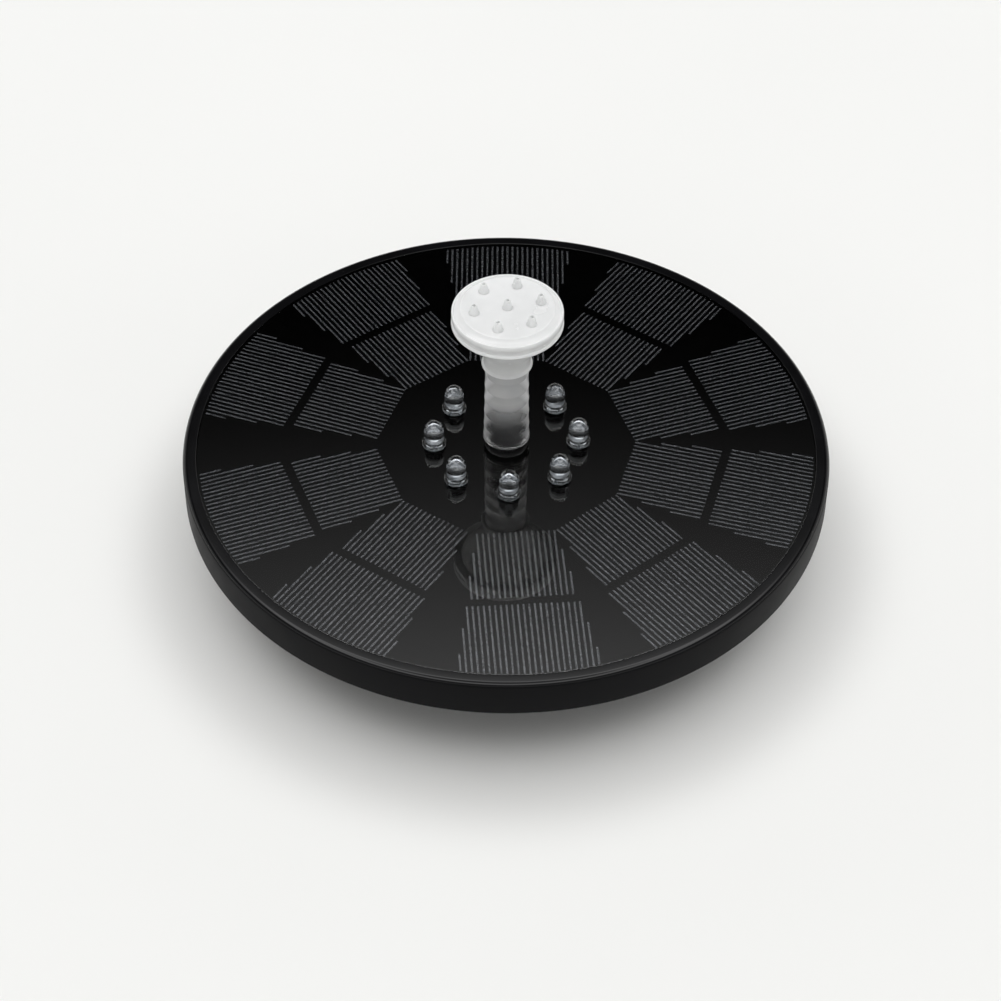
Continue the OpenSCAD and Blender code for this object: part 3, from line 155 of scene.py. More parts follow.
finishes = {
    # injection-moulded ABS, spark-eroded mould: dull black with a faint sparkle of grain
    "absSatinBlack": {"colour": "#0a0a0b", "second": "#0d0d0f", "patch": 18, "grain": 0.35,
                      "lift": 0.003, "rough": (0.42, 0.52),
                      "sockets": {"Specular IOR Level": 0.06}},
    # the same ABS polished along the rim, where it mirrors the sky as the panel does
    "absPolishedRim": {"colour": "#0a0a0b", "second": "#0c0c0e", "patch": 12,
                       "rough": (0.1, 0.15), "sockets": {"Specular IOR Level": 0.32}},
    # the same ABS from a smoother mould, for the pump under the float
    "absPumpBlack": {"colour": "#101113", "second": "#16171a", "patch": 12, "grain": 0.3,
                     "lift": 0.004, "rough": (0.38, 0.5)},
    # polished ABS at the outlet, dark and wet-looking
    "absPolishedBlack": {"colour": "#0b0b0c", "second": "#101012", "patch": 6, "grain": 0.4,
                         "lift": 0.001, "rough": (0.2, 0.3)},
    # solder-masked backing board, seen only as deep black through the glazing
    "solderMaskBlack": {"colour": "#020202", "second": "#040404", "patch": 9,
                        "rough": (0.4, 0.55), "sockets": {"Specular IOR Level": 0.0}},
    # silicon wafer, a blue-black that hardly shows
    "siliconWafer": {"colour": "#040406", "second": "#06070a", "patch": 3,
                     "rough": (0.28, 0.4), "sockets": {"Specular IOR Level": 0.01}},
    # screen-printed silver fingers of the cells: fine lines that catch the sky
    "printedSilver": {"colour": "#77787b", "second": "#4c4d4f", "patch": 1.1,
                      "rough": (0.2, 0.3), "sockets": {"Metallic": 1.0}},
    # cast PET glazing: clear and glossy, so that it mirrors the sky sharply
    "castGlazing": {"colour": "#f4f6f7", "second": "#eef1f3", "patch": 40,
                    "sockets": {"Transmission Weight": 1.0, "Roughness": 0.0, "IOR": 1.7}},
    # water-clear epoxy of the lamps: bright at its edges, dark in the middle
    "clearEpoxy": {"colour": "#e4e6e7", "second": "#dadddf", "patch": 3,
                   "rough": (0.01, 0.03), "sockets": {"Transmission Weight": 1.0, "IOR": 1.53}},
    # tin-plated steel legs: soft silver
    "tinPlate": {"colour": "#c6c9cc", "second": "#a9adb2", "patch": 1.2, "grain": 0.15,
                 "lift": 0.002, "rough": (0.22, 0.36), "sockets": {"Metallic": 1.0}},
    # glass-fibre board under green solder mask, with lighter tracks
    "boardGreen": {"colour": "#2a6a3c", "second": "#0f3a20", "patch": 5, "grain": 2.6,
                   "lift": 0.02, "cells": True, "tone": "grain", "from": 0.04, "to": 0.07,
                   "rough": (0.3, 0.42)},
    # moulded chip cases: charcoal, fine matt
    "mouldedChip": {"colour": "#1d1e20", "second": "#26272a", "patch": 2, "grain": 0.15,
                    "lift": 0.005, "rough": (0.5, 0.62)},
    # grey nylon of the switch
    "nylonGrey": {"colour": "#b9bbbd", "second": "#aeb0b3", "patch": 3, "grain": 0.3,
                  "lift": 0.003, "rough": (0.4, 0.5)},
    # silicone rubber of the button: soft dark grey with a dull sheen
    "siliconeGrey": {"colour": "#3a3b3f", "second": "#33343a", "patch": 4, "grain": 0.2,
                     "lift": 0.006, "rough": (0.58, 0.7),
                     "sockets": {"Sheen Weight": 0.25, "Sheen Roughness": 0.5}},
    # laminated aluminium foil of the battery: crinkled silver
    "pouchFoil": {"colour": "#b4b7bb", "second": "#9ea1a6", "patch": 6, "grain": 3.5,
                  "lift": 0.12, "rough": (0.28, 0.4), "sockets": {"Metallic": 1.0}},
    # closed-cell foam tape
    "foamTape": {"colour": "#2b2b2e", "second": "#222225", "patch": 3, "grain": 0.5,
                 "lift": 0.05, "cells": True, "rough": (0.8, 0.9)},
    # PVC insulation of the leads, smooth with a little shine
    "pvcRed": {"colour": "#a81d1a", "second": "#94160f", "patch": 4, "grain": 0.4,
               "lift": 0.003, "rough": (0.34, 0.42)},
    "pvcYellow": {"colour": "#d9a81c", "second": "#c99512", "patch": 4, "grain": 0.4,
                  "lift": 0.003, "rough": (0.34, 0.42)},
    "pvcGrey": {"colour": "#55585c", "second": "#4a4c50", "patch": 4, "grain": 0.4,
                "lift": 0.003, "rough": (0.34, 0.42)},
    # nitrile rubber of the seals: dead black
    "nitrileRubber": {"colour": "#1c1c1d", "second": "#232324", "patch": 2, "grain": 0.2,
                      "lift": 0.004, "rough": (0.6, 0.72)},
    # natural polypropylene of the riser, clear, with painted light that whitens it above and at its
    # edges; heights in mm
    "clearPolypropylene": {"colour": "#fafafa", "second": "#f4f5f6", "patch": 5,
                           "rough": (0.12, 0.16),
                           "paintedLight": {"clearTo": 44, "topFrom": 57, "ease": 2.2,
                                    "clear": 0.985, "topPassing": 0.52,
                                    "edge": 0.8, "edgeFrom": 0.5, "edgeFull": 0.88},
                           "sockets": {"IOR": 1.49}},
    # milky polypropylene of the spray head: near white, light goes a little way in
    "milkyPolypropylene": {"colour": "#f6f7f7", "second": "#f0f1f1", "patch": 7, "grain": 0.6,
                           "lift": 0.002, "rough": (0.2, 0.28),
                           "sockets": {"Transmission Weight": 0.12, "IOR": 1.49,
                                       "Subsurface Weight": 0.5, "Subsurface Radius": (1, 1, 1),
                                       "Subsurface Scale": 0.0004}},
    # stacked electrical steel: grey sheets on edge, 0.35 mm each
    "stackedSteel": {"colour": "#8d9298", "second": "#5f6469", "patch": 3, "grain": 0.35,
                     "lift": 0.03, "bands": "Z", "tone": "grain", "rough": (0.3, 0.45),
                     "sockets": {"Metallic": 1.0}},
    # enamelled winding wire, 0.25 mm across
    "enamelledCopper": {"colour": "#c9783a", "second": "#7a3b16", "patch": 2, "grain": 0.25,
                        "lift": 0.08, "bands": "Z", "waver": 0.6, "tone": "grain",
                        "rough": (0.22, 0.34), "sockets": {"Metallic": 1.0}},
    # ground stainless steel of the shaft
    "groundSteel": {"colour": "#d2d4d6", "second": "#bfc2c5", "patch": 2, "grain": 0.08,
                    "lift": 0.001, "bands": "Z", "rough": (0.14, 0.22),
                    "sockets": {"Metallic": 1.0}},
    # acetal of the impeller: ivory white, slick
    "acetalWhite": {"colour": "#eeeeea", "second": "#e5e5e0", "patch": 4, "grain": 0.5,
                    "lift": 0.003, "rough": (0.3, 0.4),
                    "sockets": {"Subsurface Weight": 0.15, "Subsurface Scale": 0.002}},
    # sintered ferrite of the magnet: charcoal grey, faintly grainy
    "sinteredFerrite": {"colour": "#2f3033", "second": "#3b3c40", "patch": 1.5, "grain": 0.12,
                        "lift": 0.01, "rough": (0.42, 0.56)},
    # open polyurethane foam, pores about 0.9 mm
    "openFoam": {"colour": "#0c0c0e", "second": "#2e2f33", "patch": 4, "grain": 0.9,
                 "lift": 0.5, "cells": True, "tone": "grain", "from": 0.02, "to": 0.3,
                 "rough": (0.85, 0.95)},
    # matt painted board of the studio floor: pale, without shine
    "paintedBoard": {"colour": "#f4f4f2", "second": "#f1f1ef", "patch": 400,
                     "rough": (0.85, 0.95)},
}
made = {name: makeFinish(name, facts) for name, facts in finishes.items()}

slotFinishes = {
    "shell_black": "absSatinBlack", "pump_black": "absPumpBlack",
    "panel_black": "solderMaskBlack", "solar_cell": "siliconWafer",
    "clear_glazing": "castGlazing", "lamp_clear": "clearEpoxy", "tinned_steel": "tinPlate",
    "circuit_board": "boardGreen", "component_black": "mouldedChip",
    "switch_grey": "nylonGrey", "button_rubber": "siliconeGrey", "battery_foil": "pouchFoil",
    "foam_tape": "foamTape", "lead_red": "pvcRed", "lead_yellow": "pvcYellow",
    "lead_grey": "pvcGrey", "seal_rubber": "nitrileRubber",
    "riser_clear": "clearPolypropylene", "head_white": "milkyPolypropylene",
    "stator_steel": "stackedSteel", "winding_copper": "enamelledCopper",
    "shaft_steel": "groundSteel", "impeller_white": "acetalWhite",
    "magnet_grey": "sinteredFerrite", "sponge_black": "openFoam",
}
for part in frame["record"]["subparts"]:
    node = frame["nodes"][part["node"]]
    node.data.materials.clear()
    node.data.materials.append(made[slotFinishes[part["material_slot"]]])
print("finishes made:", len(made))


# Turns a profile of (radius, height) in mm round an upright axis. A closed profile becomes a
# ring, and an open one gets its two ends filled.
def turnProfile(name, profile, sides, centre=(0, 0), ring=True):
    selectPieces()
    radius, height = profile[0]
    pivot = (centre[0] * mm, centre[1] * mm, 0)
    bpy.ops.mesh.primitive_circle_add(vertices=sides, radius=radius * mm,
                                      location=(pivot[0], pivot[1], height * mm))
    piece = bpy.context.object
    piece.name = name
    bpy.ops.object.mode_set(mode="EDIT")
    bpy.ops.mesh.select_all(action="SELECT")
    for nextRadius, nextHeight in profile[1:]:
        rise = (nextHeight - height) * mm
        bpy.ops.mesh.extrude_region_move(TRANSFORM_OT_translate={"value": (0, 0, rise)})
        share = nextRadius / radius
        bpy.ops.transform.resize(value=(share, share, 1), center_override=pivot)
        radius, height = nextRadius, nextHeight
    bpy.ops.mesh.select_all(action="DESELECT")
    bpy.ops.mesh.select_mode(type="EDGE")
    bpy.ops.mesh.select_non_manifold()
    if ring:
        bpy.ops.mesh.bridge_edge_loops()
    else:
        bpy.ops.mesh.fill_holes(sides=0)
    bpy.ops.mesh.select_all(action="SELECT")
    bpy.ops.mesh.normals_make_consistent(inside=False)
    bpy.ops.object.mode_set(mode="OBJECT")
    return piece


# Points of a profile on an arc, from the first to the last angle in degrees
def arcPoints(centreRadius, centreHeight, size, first, last, steps):
    points = []
    for i in range(steps + 1):
        angle = math.radians(first + (last - first) * i / steps)
        points.append((centreRadius + size * math.cos(angle),
                       centreHeight + size * math.sin(angle)))
    return points


# Points of a profile round a corner, each given as its offset from it
def cornerPoints(radius, height, offsets):
    return [(radius + outwards, height + upwards) for outwards, upwards in offsets]


def addBevel(piece, width, steps=2, angle=28):
    bevel = piece.modifiers.new("softEdges", "BEVEL")
    bevel.width = width * mm
    bevel.segments = steps
    bevel.limit_method = "ANGLE"
    bevel.angle_limit = math.radians(angle)
    selectPieces([piece])
    bpy.ops.object.modifier_apply(modifier=bevel.name)


# Joins pieces into one and puts its place into its mesh
def joinPieces(pieces):
    selectPieces(pieces)
    if len(pieces) > 1:
        bpy.ops.object.join()
    bpy.ops.object.transform_apply(location=True, rotation=True, scale=True)
    return bpy.context.object


# Joins pieces into one, smooths it, and hands it to its body
def finishPiece(pieces, name, finish, body, replaced=(), smoothAngle=32):
    whole = joinPieces(pieces)
    whole.name = name
    whole.data.name = name
    bpy.ops.object.shade_smooth_by_angle(angle=math.radians(smoothAngle))
    whole.data.materials.clear()
    whole.data.materials.append(made[finish])
    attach(whole, body)
    if replaced:
        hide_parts(*replaced)


# Copies of a piece turned round the centre by each angle in degrees, each with its own mesh
def copyTurned(piece, turns):
    copies = []
    for turn in turns:
        selectPieces([piece])
        bpy.ops.object.duplicate(linked=False)
        copy = bpy.context.object
        copy.matrix_world = Matrix.Rotation(math.radians(turn), 4, "Z") @ piece.matrix_world
        copies.append(copy)
    selectPieces([piece])
    bpy.ops.object.delete()
    return copies


# A plain bar between two corners in mm, for thin lines and legs
def addBar(low, high):
    selectPieces()
    bpy.ops.mesh.primitive_cube_add(
        size=1, location=[(a + b) / 2 * mm for a, b in zip(low, high)])
    bar = bpy.context.object
    bar.scale = [(b - a) * mm for a, b in zip(low, high)]
    return bar


case = {"radius": 90, "floor": 26, "rim": 37.4, "deck": 34.9, "lip": 86.3, "ledge": 85.4,
        "seat": 28, "roof": 33, "wall": 2, "hole": 4.6, "sides": 256,
        "topRound": 1.5, "topSteps": 8, "lowRound": 0.9, "lowSteps": 5,
        # the polished band on top of the rim, a hair proud of the shell
        "bandLip": [(-0.04, -0.6), (-0.04, -0.06), (0.06, 0.03)], "bandProud": 0.03,
        "bandSunk": 0.6, "bandEnd": 30}

inside = case["radius"] - case["wall"]
topCentre = (case["radius"] - case["topRound"], case["rim"] - case["topRound"])
caseProfile = [(case["hole"], case["roof"]), (case["ledge"], case["roof"]),
               (case["ledge"], case["seat"]), (inside, case["seat"]), (inside, case["floor"])]
caseProfile += arcPoints(case["radius"] - case["lowRound"], case["floor"] + case["lowRound"],
                         case["lowRound"], -90, 0, case["lowSteps"])
caseProfile += arcPoints(*topCentre, case["topRound"], 0, 90, case["topSteps"])
caseProfile += [(case["lip"], case["rim"]), (case["lip"], case["deck"]),
                (case["hole"], case["deck"])]
caseShell = turnProfile("float_case", caseProfile, case["sides"])
finishPiece([caseShell], "float_case", "absSatinBlack", "float", ["upper_case"])

bandProfile = cornerPoints(case["lip"], case["rim"], case["bandLip"])
bandProfile += arcPoints(*topCentre, case["topRound"] + case["bandProud"], 90, case["bandEnd"],
                         case["topSteps"])
bandProfile += [(topCentre[0], case["rim"] - case["bandSunk"])]
rimBand = turnProfile("rim_band", bandProfile, case["sides"])
finishPiece([rimBand], "rim_band", "absPolishedRim", "float")
print("float case turned")


# flat is where the glaze's level top ends, so that its rounded edge doesn't tilt its shading.
# steps are the lengths of a field's lines: whole, and then the two shorter ones at each side.
panel = {"radius": 86.28, "top": 37.2, "bottom": 35.6, "hole": 4.6, "flat": 85.9,
         "edge": 0.06, "edgeSteps": 4,
         "petals": 10, "firstTurn": -87.7, "turn": 35.1, "latePetals": 2, "wideGap": 5.94,
         "pitch": 1.497, "lineWidth": 0.52, "lineFoot": 36.36, "lineTop": 36.46,
         "innerLines": 15, "innerStart": 34.5, "innerEnd": 58.5,
         "outerLines": 21, "outerStart": 61.1, "outerEnd": 85.5, "steps": (1, 0.7, 0.35),
         "sides": 256}

glazeProfile = [(panel["hole"], panel["bottom"]), (panel["radius"], panel["bottom"])]
glazeProfile += arcPoints(panel["radius"] - panel["edge"], panel["top"] - panel["edge"],
                          panel["edge"], 0, 90, panel["edgeSteps"])
glazeProfile += [(panel["flat"], panel["top"]), (panel["hole"], panel["top"])]
glazing = turnProfile("panel_glaze", glazeProfile, panel["sides"])
finishPiece([glazing], "panel_glaze", "castGlazing", "float",
            ["panel_glazing"])


# The printed lines of one field, which run outwards along +X
def fieldLines(count, start, end, roundEnd):
    whole = (count - 1) // 2
    most = whole + len(panel["steps"]) - 1
    lines = []
    for i in range(-most, most + 1):
        share = panel["steps"][max(0, abs(i) - whole)]
        aside = i * panel["pitch"]
        last = math.sqrt(panel["outerEnd"] ** 2 - aside ** 2) if roundEnd else end
        half = panel["lineWidth"] / 2
        lines.append(addBar((end - (end - start) * share, aside - half, panel["lineFoot"]),
                            (last, aside + half, panel["lineTop"])))
    return lines


petalLines = fieldLines(panel["innerLines"], panel["innerStart"], panel["innerEnd"], False)
petalLines += fieldLines(panel["outerLines"], panel["outerStart"], panel["radius"], True)
petal = joinPieces(petalLines)
petalTurns = [panel["firstTurn"] + panel["turn"] * i for i in range(panel["petals"])]
for i in range(panel["petals"] - panel["latePetals"], panel["petals"]):
    petalTurns[i] += panel["wideGap"]
finishPiece(copyTurned(petal, petalTurns), "cell_fingers", "printedSilver", "float")
print("panel glazed, fingers printed")


# sunk is how deep a lamp's foot is set in the board, as the real one's is potted. legRise and
# cupRise are heights above the panel, and cupShape goes round the shallow cup's foot.
lamp = {"ring": 20.1, "count": 8, "radius": 2.7, "height": 8.3, "flange": 3.35,
        "flangeHeight": 1.1, "foot": 37.2, "sunk": 1.4, "footBevel": 0.15, "bevel": 0.2,
        "domeTurn": 86, "domeSteps": 12, "sides": 48,
        "leg": 0.5, "legPitch": 2.2, "legFoot": 30.1, "legRise": 0.2,
        "cup": 1.75, "cupRise": 1.2, "cupShape": [(-0.5, 0), (0, 0.5), (-0.12, 0.5), (-0.6, 0.12)]}


def lampLens():
    footRadius = lamp["flange"] - lamp["footBevel"]
    flangeTop = lamp["foot"] + lamp["flangeHeight"]
    domeBase = lamp["foot"] + lamp["height"] - lamp["radius"]
    profile = [(footRadius, lamp["foot"] - lamp["sunk"]), (footRadius, lamp["foot"]),
               (lamp["flange"], lamp["foot"] + lamp["footBevel"]),
               (lamp["flange"], flangeTop - lamp["bevel"]),
               (lamp["flange"] - lamp["bevel"], flangeTop),
               (lamp["radius"] + lamp["bevel"], flangeTop),
               (lamp["radius"], flangeTop + lamp["bevel"])]
    profile += arcPoints(0, domeBase, lamp["radius"], 0, lamp["domeTurn"], lamp["domeSteps"])
    return turnProfile("lamp_lens", profile, lamp["sides"], (lamp["ring"], 0), ring=False)


# Two legs, and the shallow bright cup that holds the chip
def lampFrame():
    side = lamp["leg"] / 2
    parts = []
    for sign in (1, -1):
        y = sign * lamp["legPitch"] / 2
        parts.append(addBar((lamp["ring"] - side, y - side, lamp["legFoot"]),
                            (lamp["ring"] + side, y + side, lamp["foot"] + lamp["legRise"])))
    cupProfile = cornerPoints(lamp["cup"], lamp["foot"] + lamp["cupRise"], lamp["cupShape"])
    parts.append(turnProfile("lamp_cup", cupProfile, lamp["sides"], (lamp["ring"], 0), ring=False))
    return joinPieces(parts)


lampTurns = [360 * i / lamp["count"] for i in range(lamp["count"])]
for i, copy in enumerate(copyTurned(lampLens(), lampTurns)):
    finishPiece([copy], f"lamp_lens_{i + 1}", "clearEpoxy", "float",
                ["lamp_domes"])
for i, copy in enumerate(copyTurned(lampFrame(), lampTurns)):
    finishPiece([copy], f"lamp_frame_{i + 1}", "tinPlate", "float",
                ["lamp_legs"])
print("lamps placed:", lamp["count"])


outlet = {"bore": 3.3, "pipe": 4.5, "foot": 20, "top": 51.8, "collar": 6.0,
          "collarFoot": 37.2, "collarTop": 40.4, "sides": 96, "softEdge": 0.08,
          "collarEdge": [(0, -0.35), (-0.3, 0)], "tipEdge": [(0, -0.5), (-0.5, 0)],
          "boreEdge": 0.1}
outletProfile = [(outlet["bore"], outlet["foot"]), (outlet["pipe"], outlet["foot"]),
                 (outlet["pipe"], outlet["collarFoot"]),
                 (outlet["collar"], outlet["collarFoot"])]
outletProfile += cornerPoints(outlet["collar"], outlet["collarTop"], outlet["collarEdge"])
outletProfile += [(outlet["pipe"], outlet["collarTop"])]
outletProfile += cornerPoints(outlet["pipe"], outlet["top"], outlet["tipEdge"])
outletProfile += [(outlet["bore"] + outlet["boreEdge"], outlet["top"])]
outletNeck = turnProfile("outlet_neck", outletProfile, outlet["sides"])
addBevel(outletNeck, outlet["softEdge"])
finishPiece([outletNeck], "outlet_neck", "absPolishedBlack", "float",
            ["outlet_pipe"])


# head is where the spray head's socket starts, and no ring comes nearer to it than lastRing
riser = {"foot": 40.4, "top": 74.2, "head": 67.2, "footRadius": 6.25, "topRadius": 5.85,
         "bore": 4.56, "sides": 128, "footRing": 6.45, "footRingHeight": 0.9,
         "footEdge": 0.15, "footStep": 0.05, "topEdge": 0.2,
         "ringPitch": 4.8, "ringRise": 0.08, "ringWidth": 0.6, "ringFlare": 0.1,
         "ringEdge": 0.12, "lastRing": 1}

footTop = riser["foot"] + riser["footRingHeight"]
riserProfile = [(riser["footRing"] - riser["footEdge"], riser["foot"]),
                (riser["footRing"], riser["foot"] + riser["footEdge"]),
                (riser["footRing"], footTop - riser["footEdge"]),
                (riser["footRadius"] + riser["footStep"], footTop)]
ringHeight = riser["foot"] + riser["ringPitch"]
halfRing = riser["ringWidth"] / 2
ringShape = [(0, -halfRing - riser["ringFlare"]),
             (riser["ringRise"], -halfRing + riser["ringEdge"]),
             (riser["ringRise"], halfRing - riser["ringEdge"]),
             (0, halfRing + riser["ringFlare"])]
while ringHeight < riser["head"] - riser["lastRing"]:
    share = (ringHeight - riser["foot"]) / (riser["head"] - riser["foot"])
    outer = riser["footRadius"] + (riser["topRadius"] - riser["footRadius"]) * share
    riserProfile += cornerPoints(outer, ringHeight, ringShape)
    ringHeight += riser["ringPitch"]
riserProfile += [(riser["topRadius"], riser["head"]),
                 (riser["topRadius"], riser["top"] - riser["topEdge"]),
                 (riser["topRadius"] - riser["topEdge"], riser["top"]),
                 (riser["bore"] + riser["topEdge"], riser["top"]),
                 (riser["bore"], riser["top"] - riser["topEdge"]), (riser["bore"], riser["foot"])]
riserTube = turnProfile("riser_sleeve", riserProfile, riser["sides"])
finishPiece([riserTube], "riser_sleeve", "clearPolypropylene", "riser",
            ["riser_tube"])


# A list named Shape or Edge holds a rounding's points, as offsets from its corner
head = {"foot": 67.2, "socketBore": 5.91, "socketTop": 74.3, "socket": 6.4, "socketEnd": 0.3,
        "bead": 6.95, "beadShape": [(-0.25, 0), (0, 0.25), (0, 0.4), (-0.12, 0.6)],
        "beadTop": 1.0, "bore": 4.56, "boreTop": 75.2,
        "funnel": 71.4, "funnelRadius": 12.7, "funnelCurve": 0.14, "funnelSteps": 8,
        "funnelEdge": 0.1, "flangeFoot": 81.7, "flangeLow": 14.2, "flangeBead": 15.15,
        "flangeShape": [(-0.2, 0.12), (0, 0.4), (-0.05, 0.75), (-0.3, 1.0)],
        "flangeHigh": 14.7, "flangeStep": 1.1, "flangeEdge": [(0, -0.2), (-0.3, 0)],
        "plug": 12.6, "plugGap": 0.1, "plugSeat": 0.6, "sides": 160}
cap = {"foot": 84.1, "top": 87.1, "radius": 15.05, "wall": 1.3, "plugDepth": 1.4,
       "footShape": [(-0.3, 0), (-0.08, 0.08), (0, 0.3)],
       "rimShape": [(0, -1.35), (-0.12, -1.1), (-0.35, -1.0), (-0.6, -1.1), (-0.7, -1.3),
                    (-1.0, -1.25), (-2.2, -0.25), (-2.35, -0.02), (-2.6, 0.06), (-2.9, 0)]}

headProfile = [(head["socketBore"], head["foot"])]
headProfile += cornerPoints(head["bead"], head["foot"], head["beadShape"])
headProfile += [(head["socket"], head["foot"] + head["beadTop"]),
                (head["socket"], head["funnel"] - head["socketEnd"])]
for i in range(1, head["funnelSteps"]):  # the funnel opens in a gentle curve
    t = i / head["funnelSteps"]
    opened = (1 - head["funnelCurve"]) * t + head["funnelCurve"] * t * t
    headProfile.append((head["socket"] + (head["funnelRadius"] - head["socket"]) * opened,
                        head["funnel"] + (head["flangeFoot"] - head["funnel"]) * t))
headProfile += [(head["funnelRadius"], head["flangeFoot"] - head["funnelEdge"]),
                (head["flangeLow"], head["flangeFoot"])]
headProfile += cornerPoints(head["flangeBead"], head["flangeFoot"], head["flangeShape"])
headProfile += [(head["flangeHigh"], head["flangeFoot"] + head["flangeStep"])]
headProfile += cornerPoints(head["flangeHigh"], cap["foot"], head["flangeEdge"])
headProfile += [(head["plug"] + head["plugGap"], cap["foot"]),
                (head["plug"] + head["plugGap"], head["flangeFoot"] + head["plugSeat"]),
                (head["bore"], head["boreTop"]), (head["bore"], head["socketTop"]),
                (head["socketBore"], head["socketTop"])]
headBody = turnProfile("head_body", headProfile, head["sides"])
finishPiece([headBody], "head_body", "milkyPolypropylene", "head",
            ["nozzle_head"])

jet = {"ring": 9.2, "count": 6, "turn": 12, "foot": 1.35, "tip": 0.72, "hole": 0.45,
       "height": 2.6, "sunk": 0.3, "sides": 32,
       "footShape": [(0.15, -0.3), (0.1, 0.02), (0, 0.16), (-0.1, 0.4)],
       "tipShape": [(0.12, -0.3), (0, -0.08), (-0.1, 0)], "holeShape": [(0.06, 0), (0, -0.1)]}
plugInside = head["plug"] - cap["wall"]
capProfile = [(jet["hole"], cap["top"] - cap["wall"]), (plugInside, cap["top"] - cap["wall"]),
              (plugInside, cap["foot"] - cap["plugDepth"]),
              (head["plug"], cap["foot"] - cap["plugDepth"]), (head["plug"], cap["foot"])]
capProfile += cornerPoints(cap["radius"], cap["foot"], cap["footShape"])
capProfile += cornerPoints(cap["radius"], cap["top"], cap["rimShape"])
capProfile += [(jet["hole"], cap["top"])]
capBody = turnProfile("cap_body", capProfile, head["sides"])


# One hollow jet, with a small fillet at its foot
def addJet(x, y):
    tipHeight = cap["top"] + jet["height"]
    profile = [(jet["hole"], cap["top"] - jet["sunk"])]
    profile += cornerPoints(jet["foot"], cap["top"], jet["footShape"])
    profile += cornerPoints(jet["tip"], tipHeight, jet["tipShape"])
    profile += cornerPoints(jet["hole"], tipHeight, jet["holeShape"])
    return turnProfile("jet", profile, jet["sides"], (x, y))


jets = [addJet(0, 0)]
for i in range(jet["count"]):
    angle = math.radians(jet["turn"] + 360 * i / jet["count"])
    jets.append(addJet(jet["ring"] * math.cos(angle), jet["ring"] * math.sin(angle)))
finishPiece([capBody] + jets, "head_cap", "milkyPolypropylene", "head",
            ["spray_cap"])
print("riser and spray head turned")


# The floor is flat and then curves up: shares of its radius, and heights in mm
floor = {"radius": 3000, "curve": [(0.7, 0), (0.85, 40), (0.95, 160), (1, 500)], "sides": 96}

floorProfile = [(1, 0)] + [(floor["radius"] * share, rise) for share, rise in floor["curve"]]
backdrop = turnProfile("studio_floor", floorProfile, floor["sides"], ring=False)
selectPieces([backdrop])
bpy.ops.object.mode_set(mode="EDIT")
bpy.ops.mesh.select_all(action="DESELECT")
bpy.ops.object.mode_set(mode="OBJECT")
nearTop = floor["curve"][-1][1] * 0.99 * mm
for face in backdrop.data.polygons:  # the lid that turnProfile filled
    face.select = face.center.z > nearTop
bpy.ops.object.mode_set(mode="EDIT")
bpy.ops.mesh.delete(type="FACE")
bpy.ops.object.mode_set(mode="OBJECT")
bpy.ops.object.transform_apply(location=True, rotation=True, scale=True)
bpy.ops.object.shade_smooth()
backdrop.data.materials.clear()
backdrop.data.materials.append(made["paintedBoard"])


# The studio's light by its direction. Each pair says where a light starts and where it is
# whole, from -1 to 1: a climb reads the direction's height, and a turn its side or front.
light = {"zenith": 3.1, "horizon": 0.006, "climb": (0.655, 0.8545), "ease": 2.3,
         "bandClimb": (0.56, 0.38), "bandFront": 0.4, "bandSide": 0.6, "bandTurn": (0.15, 0.75),
         "screen": 0.15, "screenTurn": (-0.3, -0.7), "overhead": -2.6,
         "overheadClimb": (0.92, 0.98)}

world = bpy.data.worlds.new("softDome")
bpy.context.scene.world = world
world.use_nodes = True
skyTree = world.node_tree
sky = skyTree.nodes["Background"]
direction = addNode(skyTree, "ShaderNodeTexCoord").outputs["Generated"]
upward = addNode(skyTree, "ShaderNodeSeparateXYZ", {}, {0: direction})
climb = addNode(skyTree, "ShaderNodeMapRange",
                {"From Min": light["climb"][0], "From Max": light["climb"][1]},
                {"Value": upward.outputs["Z"]})
eased = addNode(skyTree, "ShaderNodeMath", {"operation": "POWER", 1: light["ease"]},
                {0: climb.outputs["Result"]})
level = addNode(skyTree, "ShaderNodeMapRange",
                {"To Min": light["horizon"], "To Max": light["zenith"]},
                {"Value": eased.outputs["Value"]})
# a soft low band of light all round, too low for the panel to mirror it to the camera
lowBand = addNode(skyTree, "ShaderNodeMapRange",
                  {"From Min": light["bandClimb"][0], "From Max": light["bandClimb"][1]},
                  {"Value": upward.outputs["Z"]})
aside = addNode(skyTree, "ShaderNodeMath", {"operation": "ABSOLUTE"}, {0: upward.outputs["X"]})
sideGain = addNode(skyTree, "ShaderNodeMapRange",
                   {"From Min": light["bandTurn"][0], "From Max": light["bandTurn"][1],
                    "To Min": light["bandFront"], "To Max": light["bandSide"]},
                   {"Value": aside.outputs["Value"]})
bandLight = addNode(skyTree, "ShaderNodeMath", {"operation": "MULTIPLY"},
                    {0: lowBand.outputs["Result"], 1: sideGain.outputs["Result"]})
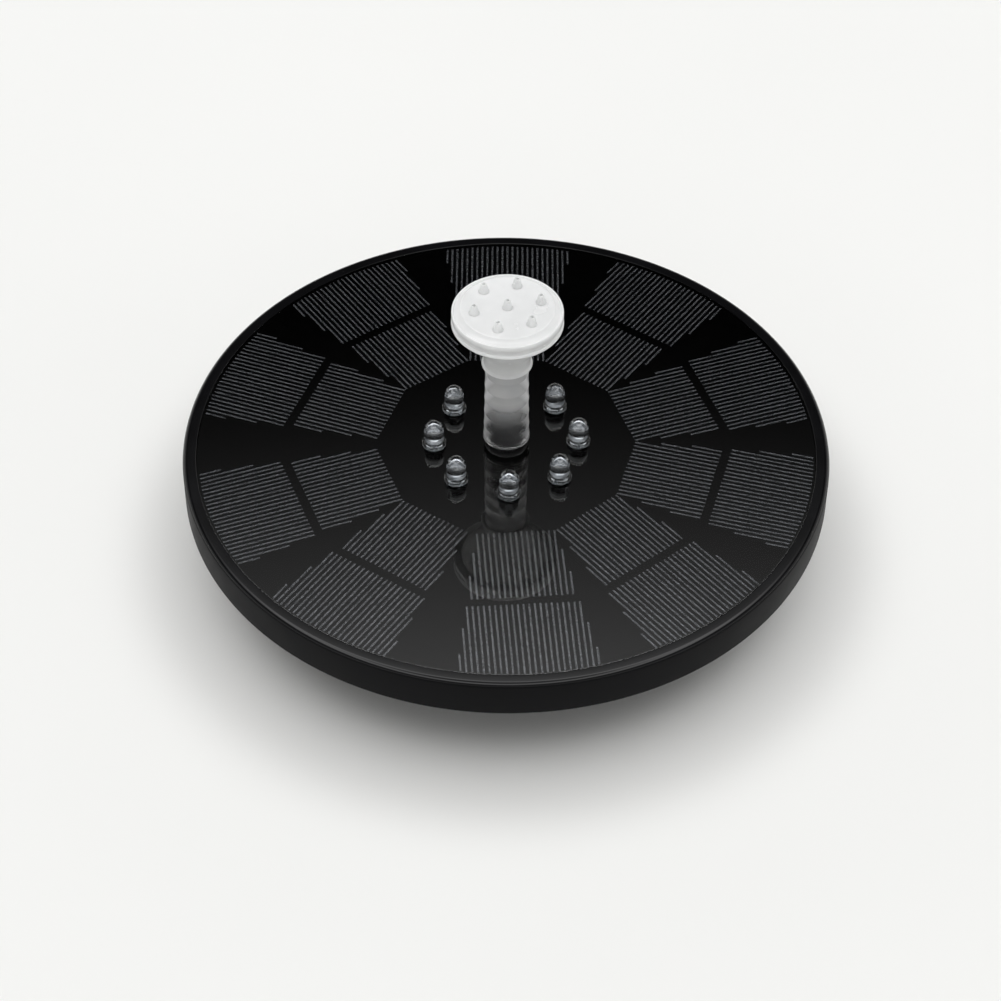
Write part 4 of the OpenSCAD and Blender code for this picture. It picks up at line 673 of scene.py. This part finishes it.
# a broad screen at the camera's side
screen = addNode(skyTree, "ShaderNodeMapRange",
                 {"From Min": light["screenTurn"][0], "From Max": light["screenTurn"][1],
                  "To Max": light["screen"]}, {"Value": upward.outputs["Y"]})
lowLight = addNode(skyTree, "ShaderNodeMath", {"operation": "ADD"},
                   {0: bandLight.outputs["Value"], 1: screen.outputs["Result"]})
# less light from straight overhead, which the panel would mirror upwards
overhead = addNode(skyTree, "ShaderNodeMapRange",
                   {"From Min": light["overheadClimb"][0], "From Max": light["overheadClimb"][1],
                    "To Max": light["overhead"]}, {"Value": upward.outputs["Z"]})
highLight = addNode(skyTree, "ShaderNodeMath", {"operation": "ADD"},
                    {0: level.outputs["Result"], 1: overhead.outputs["Result"]})
total = addNode(skyTree, "ShaderNodeMath", {"operation": "ADD"},
                {0: highLight.outputs["Value"], 1: lowLight.outputs["Value"]})
skyTree.links.new(total.outputs["Value"], sky.inputs["Strength"])
sky.inputs["Color"].default_value = (1, 1, 1, 1)


# The photograph's view: angles in degrees, lengths in mm. right and up shift the camera.
view = {"azimuth": -2.2, "elevation": 45.03, "roll": -0.49, "distance": 775,
        "right": -1.46, "up": -16.25, "aimHeight": 37.4,
        "lens": 99.94, "sensor": 36, "near": 10, "far": 50000}
azimuth, elevation, roll = (math.radians(view[k]) for k in ("azimuth", "elevation", "roll"))
backward = Vector((math.sin(azimuth) * math.cos(elevation),
                   -math.cos(azimuth) * math.cos(elevation), math.sin(elevation)))
rightward = Vector((math.cos(azimuth), math.sin(azimuth), 0))
upwardAxis = backward.cross(rightward)
place = Vector((0, 0, view["aimHeight"])) + backward * view["distance"]
place += rightward * view["right"] + upwardAxis * view["up"]
turnedRight = rightward * math.cos(roll) - upwardAxis * math.sin(roll)
turnedUp = rightward * math.sin(roll) + upwardAxis * math.cos(roll)
cameraTurn = Matrix((turnedRight, turnedUp, backward)).transposed().to_4x4()
bpy.ops.object.camera_add()
camera = bpy.context.object
camera.name = "photo_camera"
camera.matrix_world = Matrix.Translation(place * mm) @ cameraTurn
camera.data.lens = view["lens"]
camera.data.sensor_width = view["sensor"]
camera.data.clip_start = view["near"] * mm
camera.data.clip_end = view["far"] * mm
bpy.context.scene.camera = camera
bpy.context.scene.view_settings.view_transform = "Standard"
print("studio and camera set")
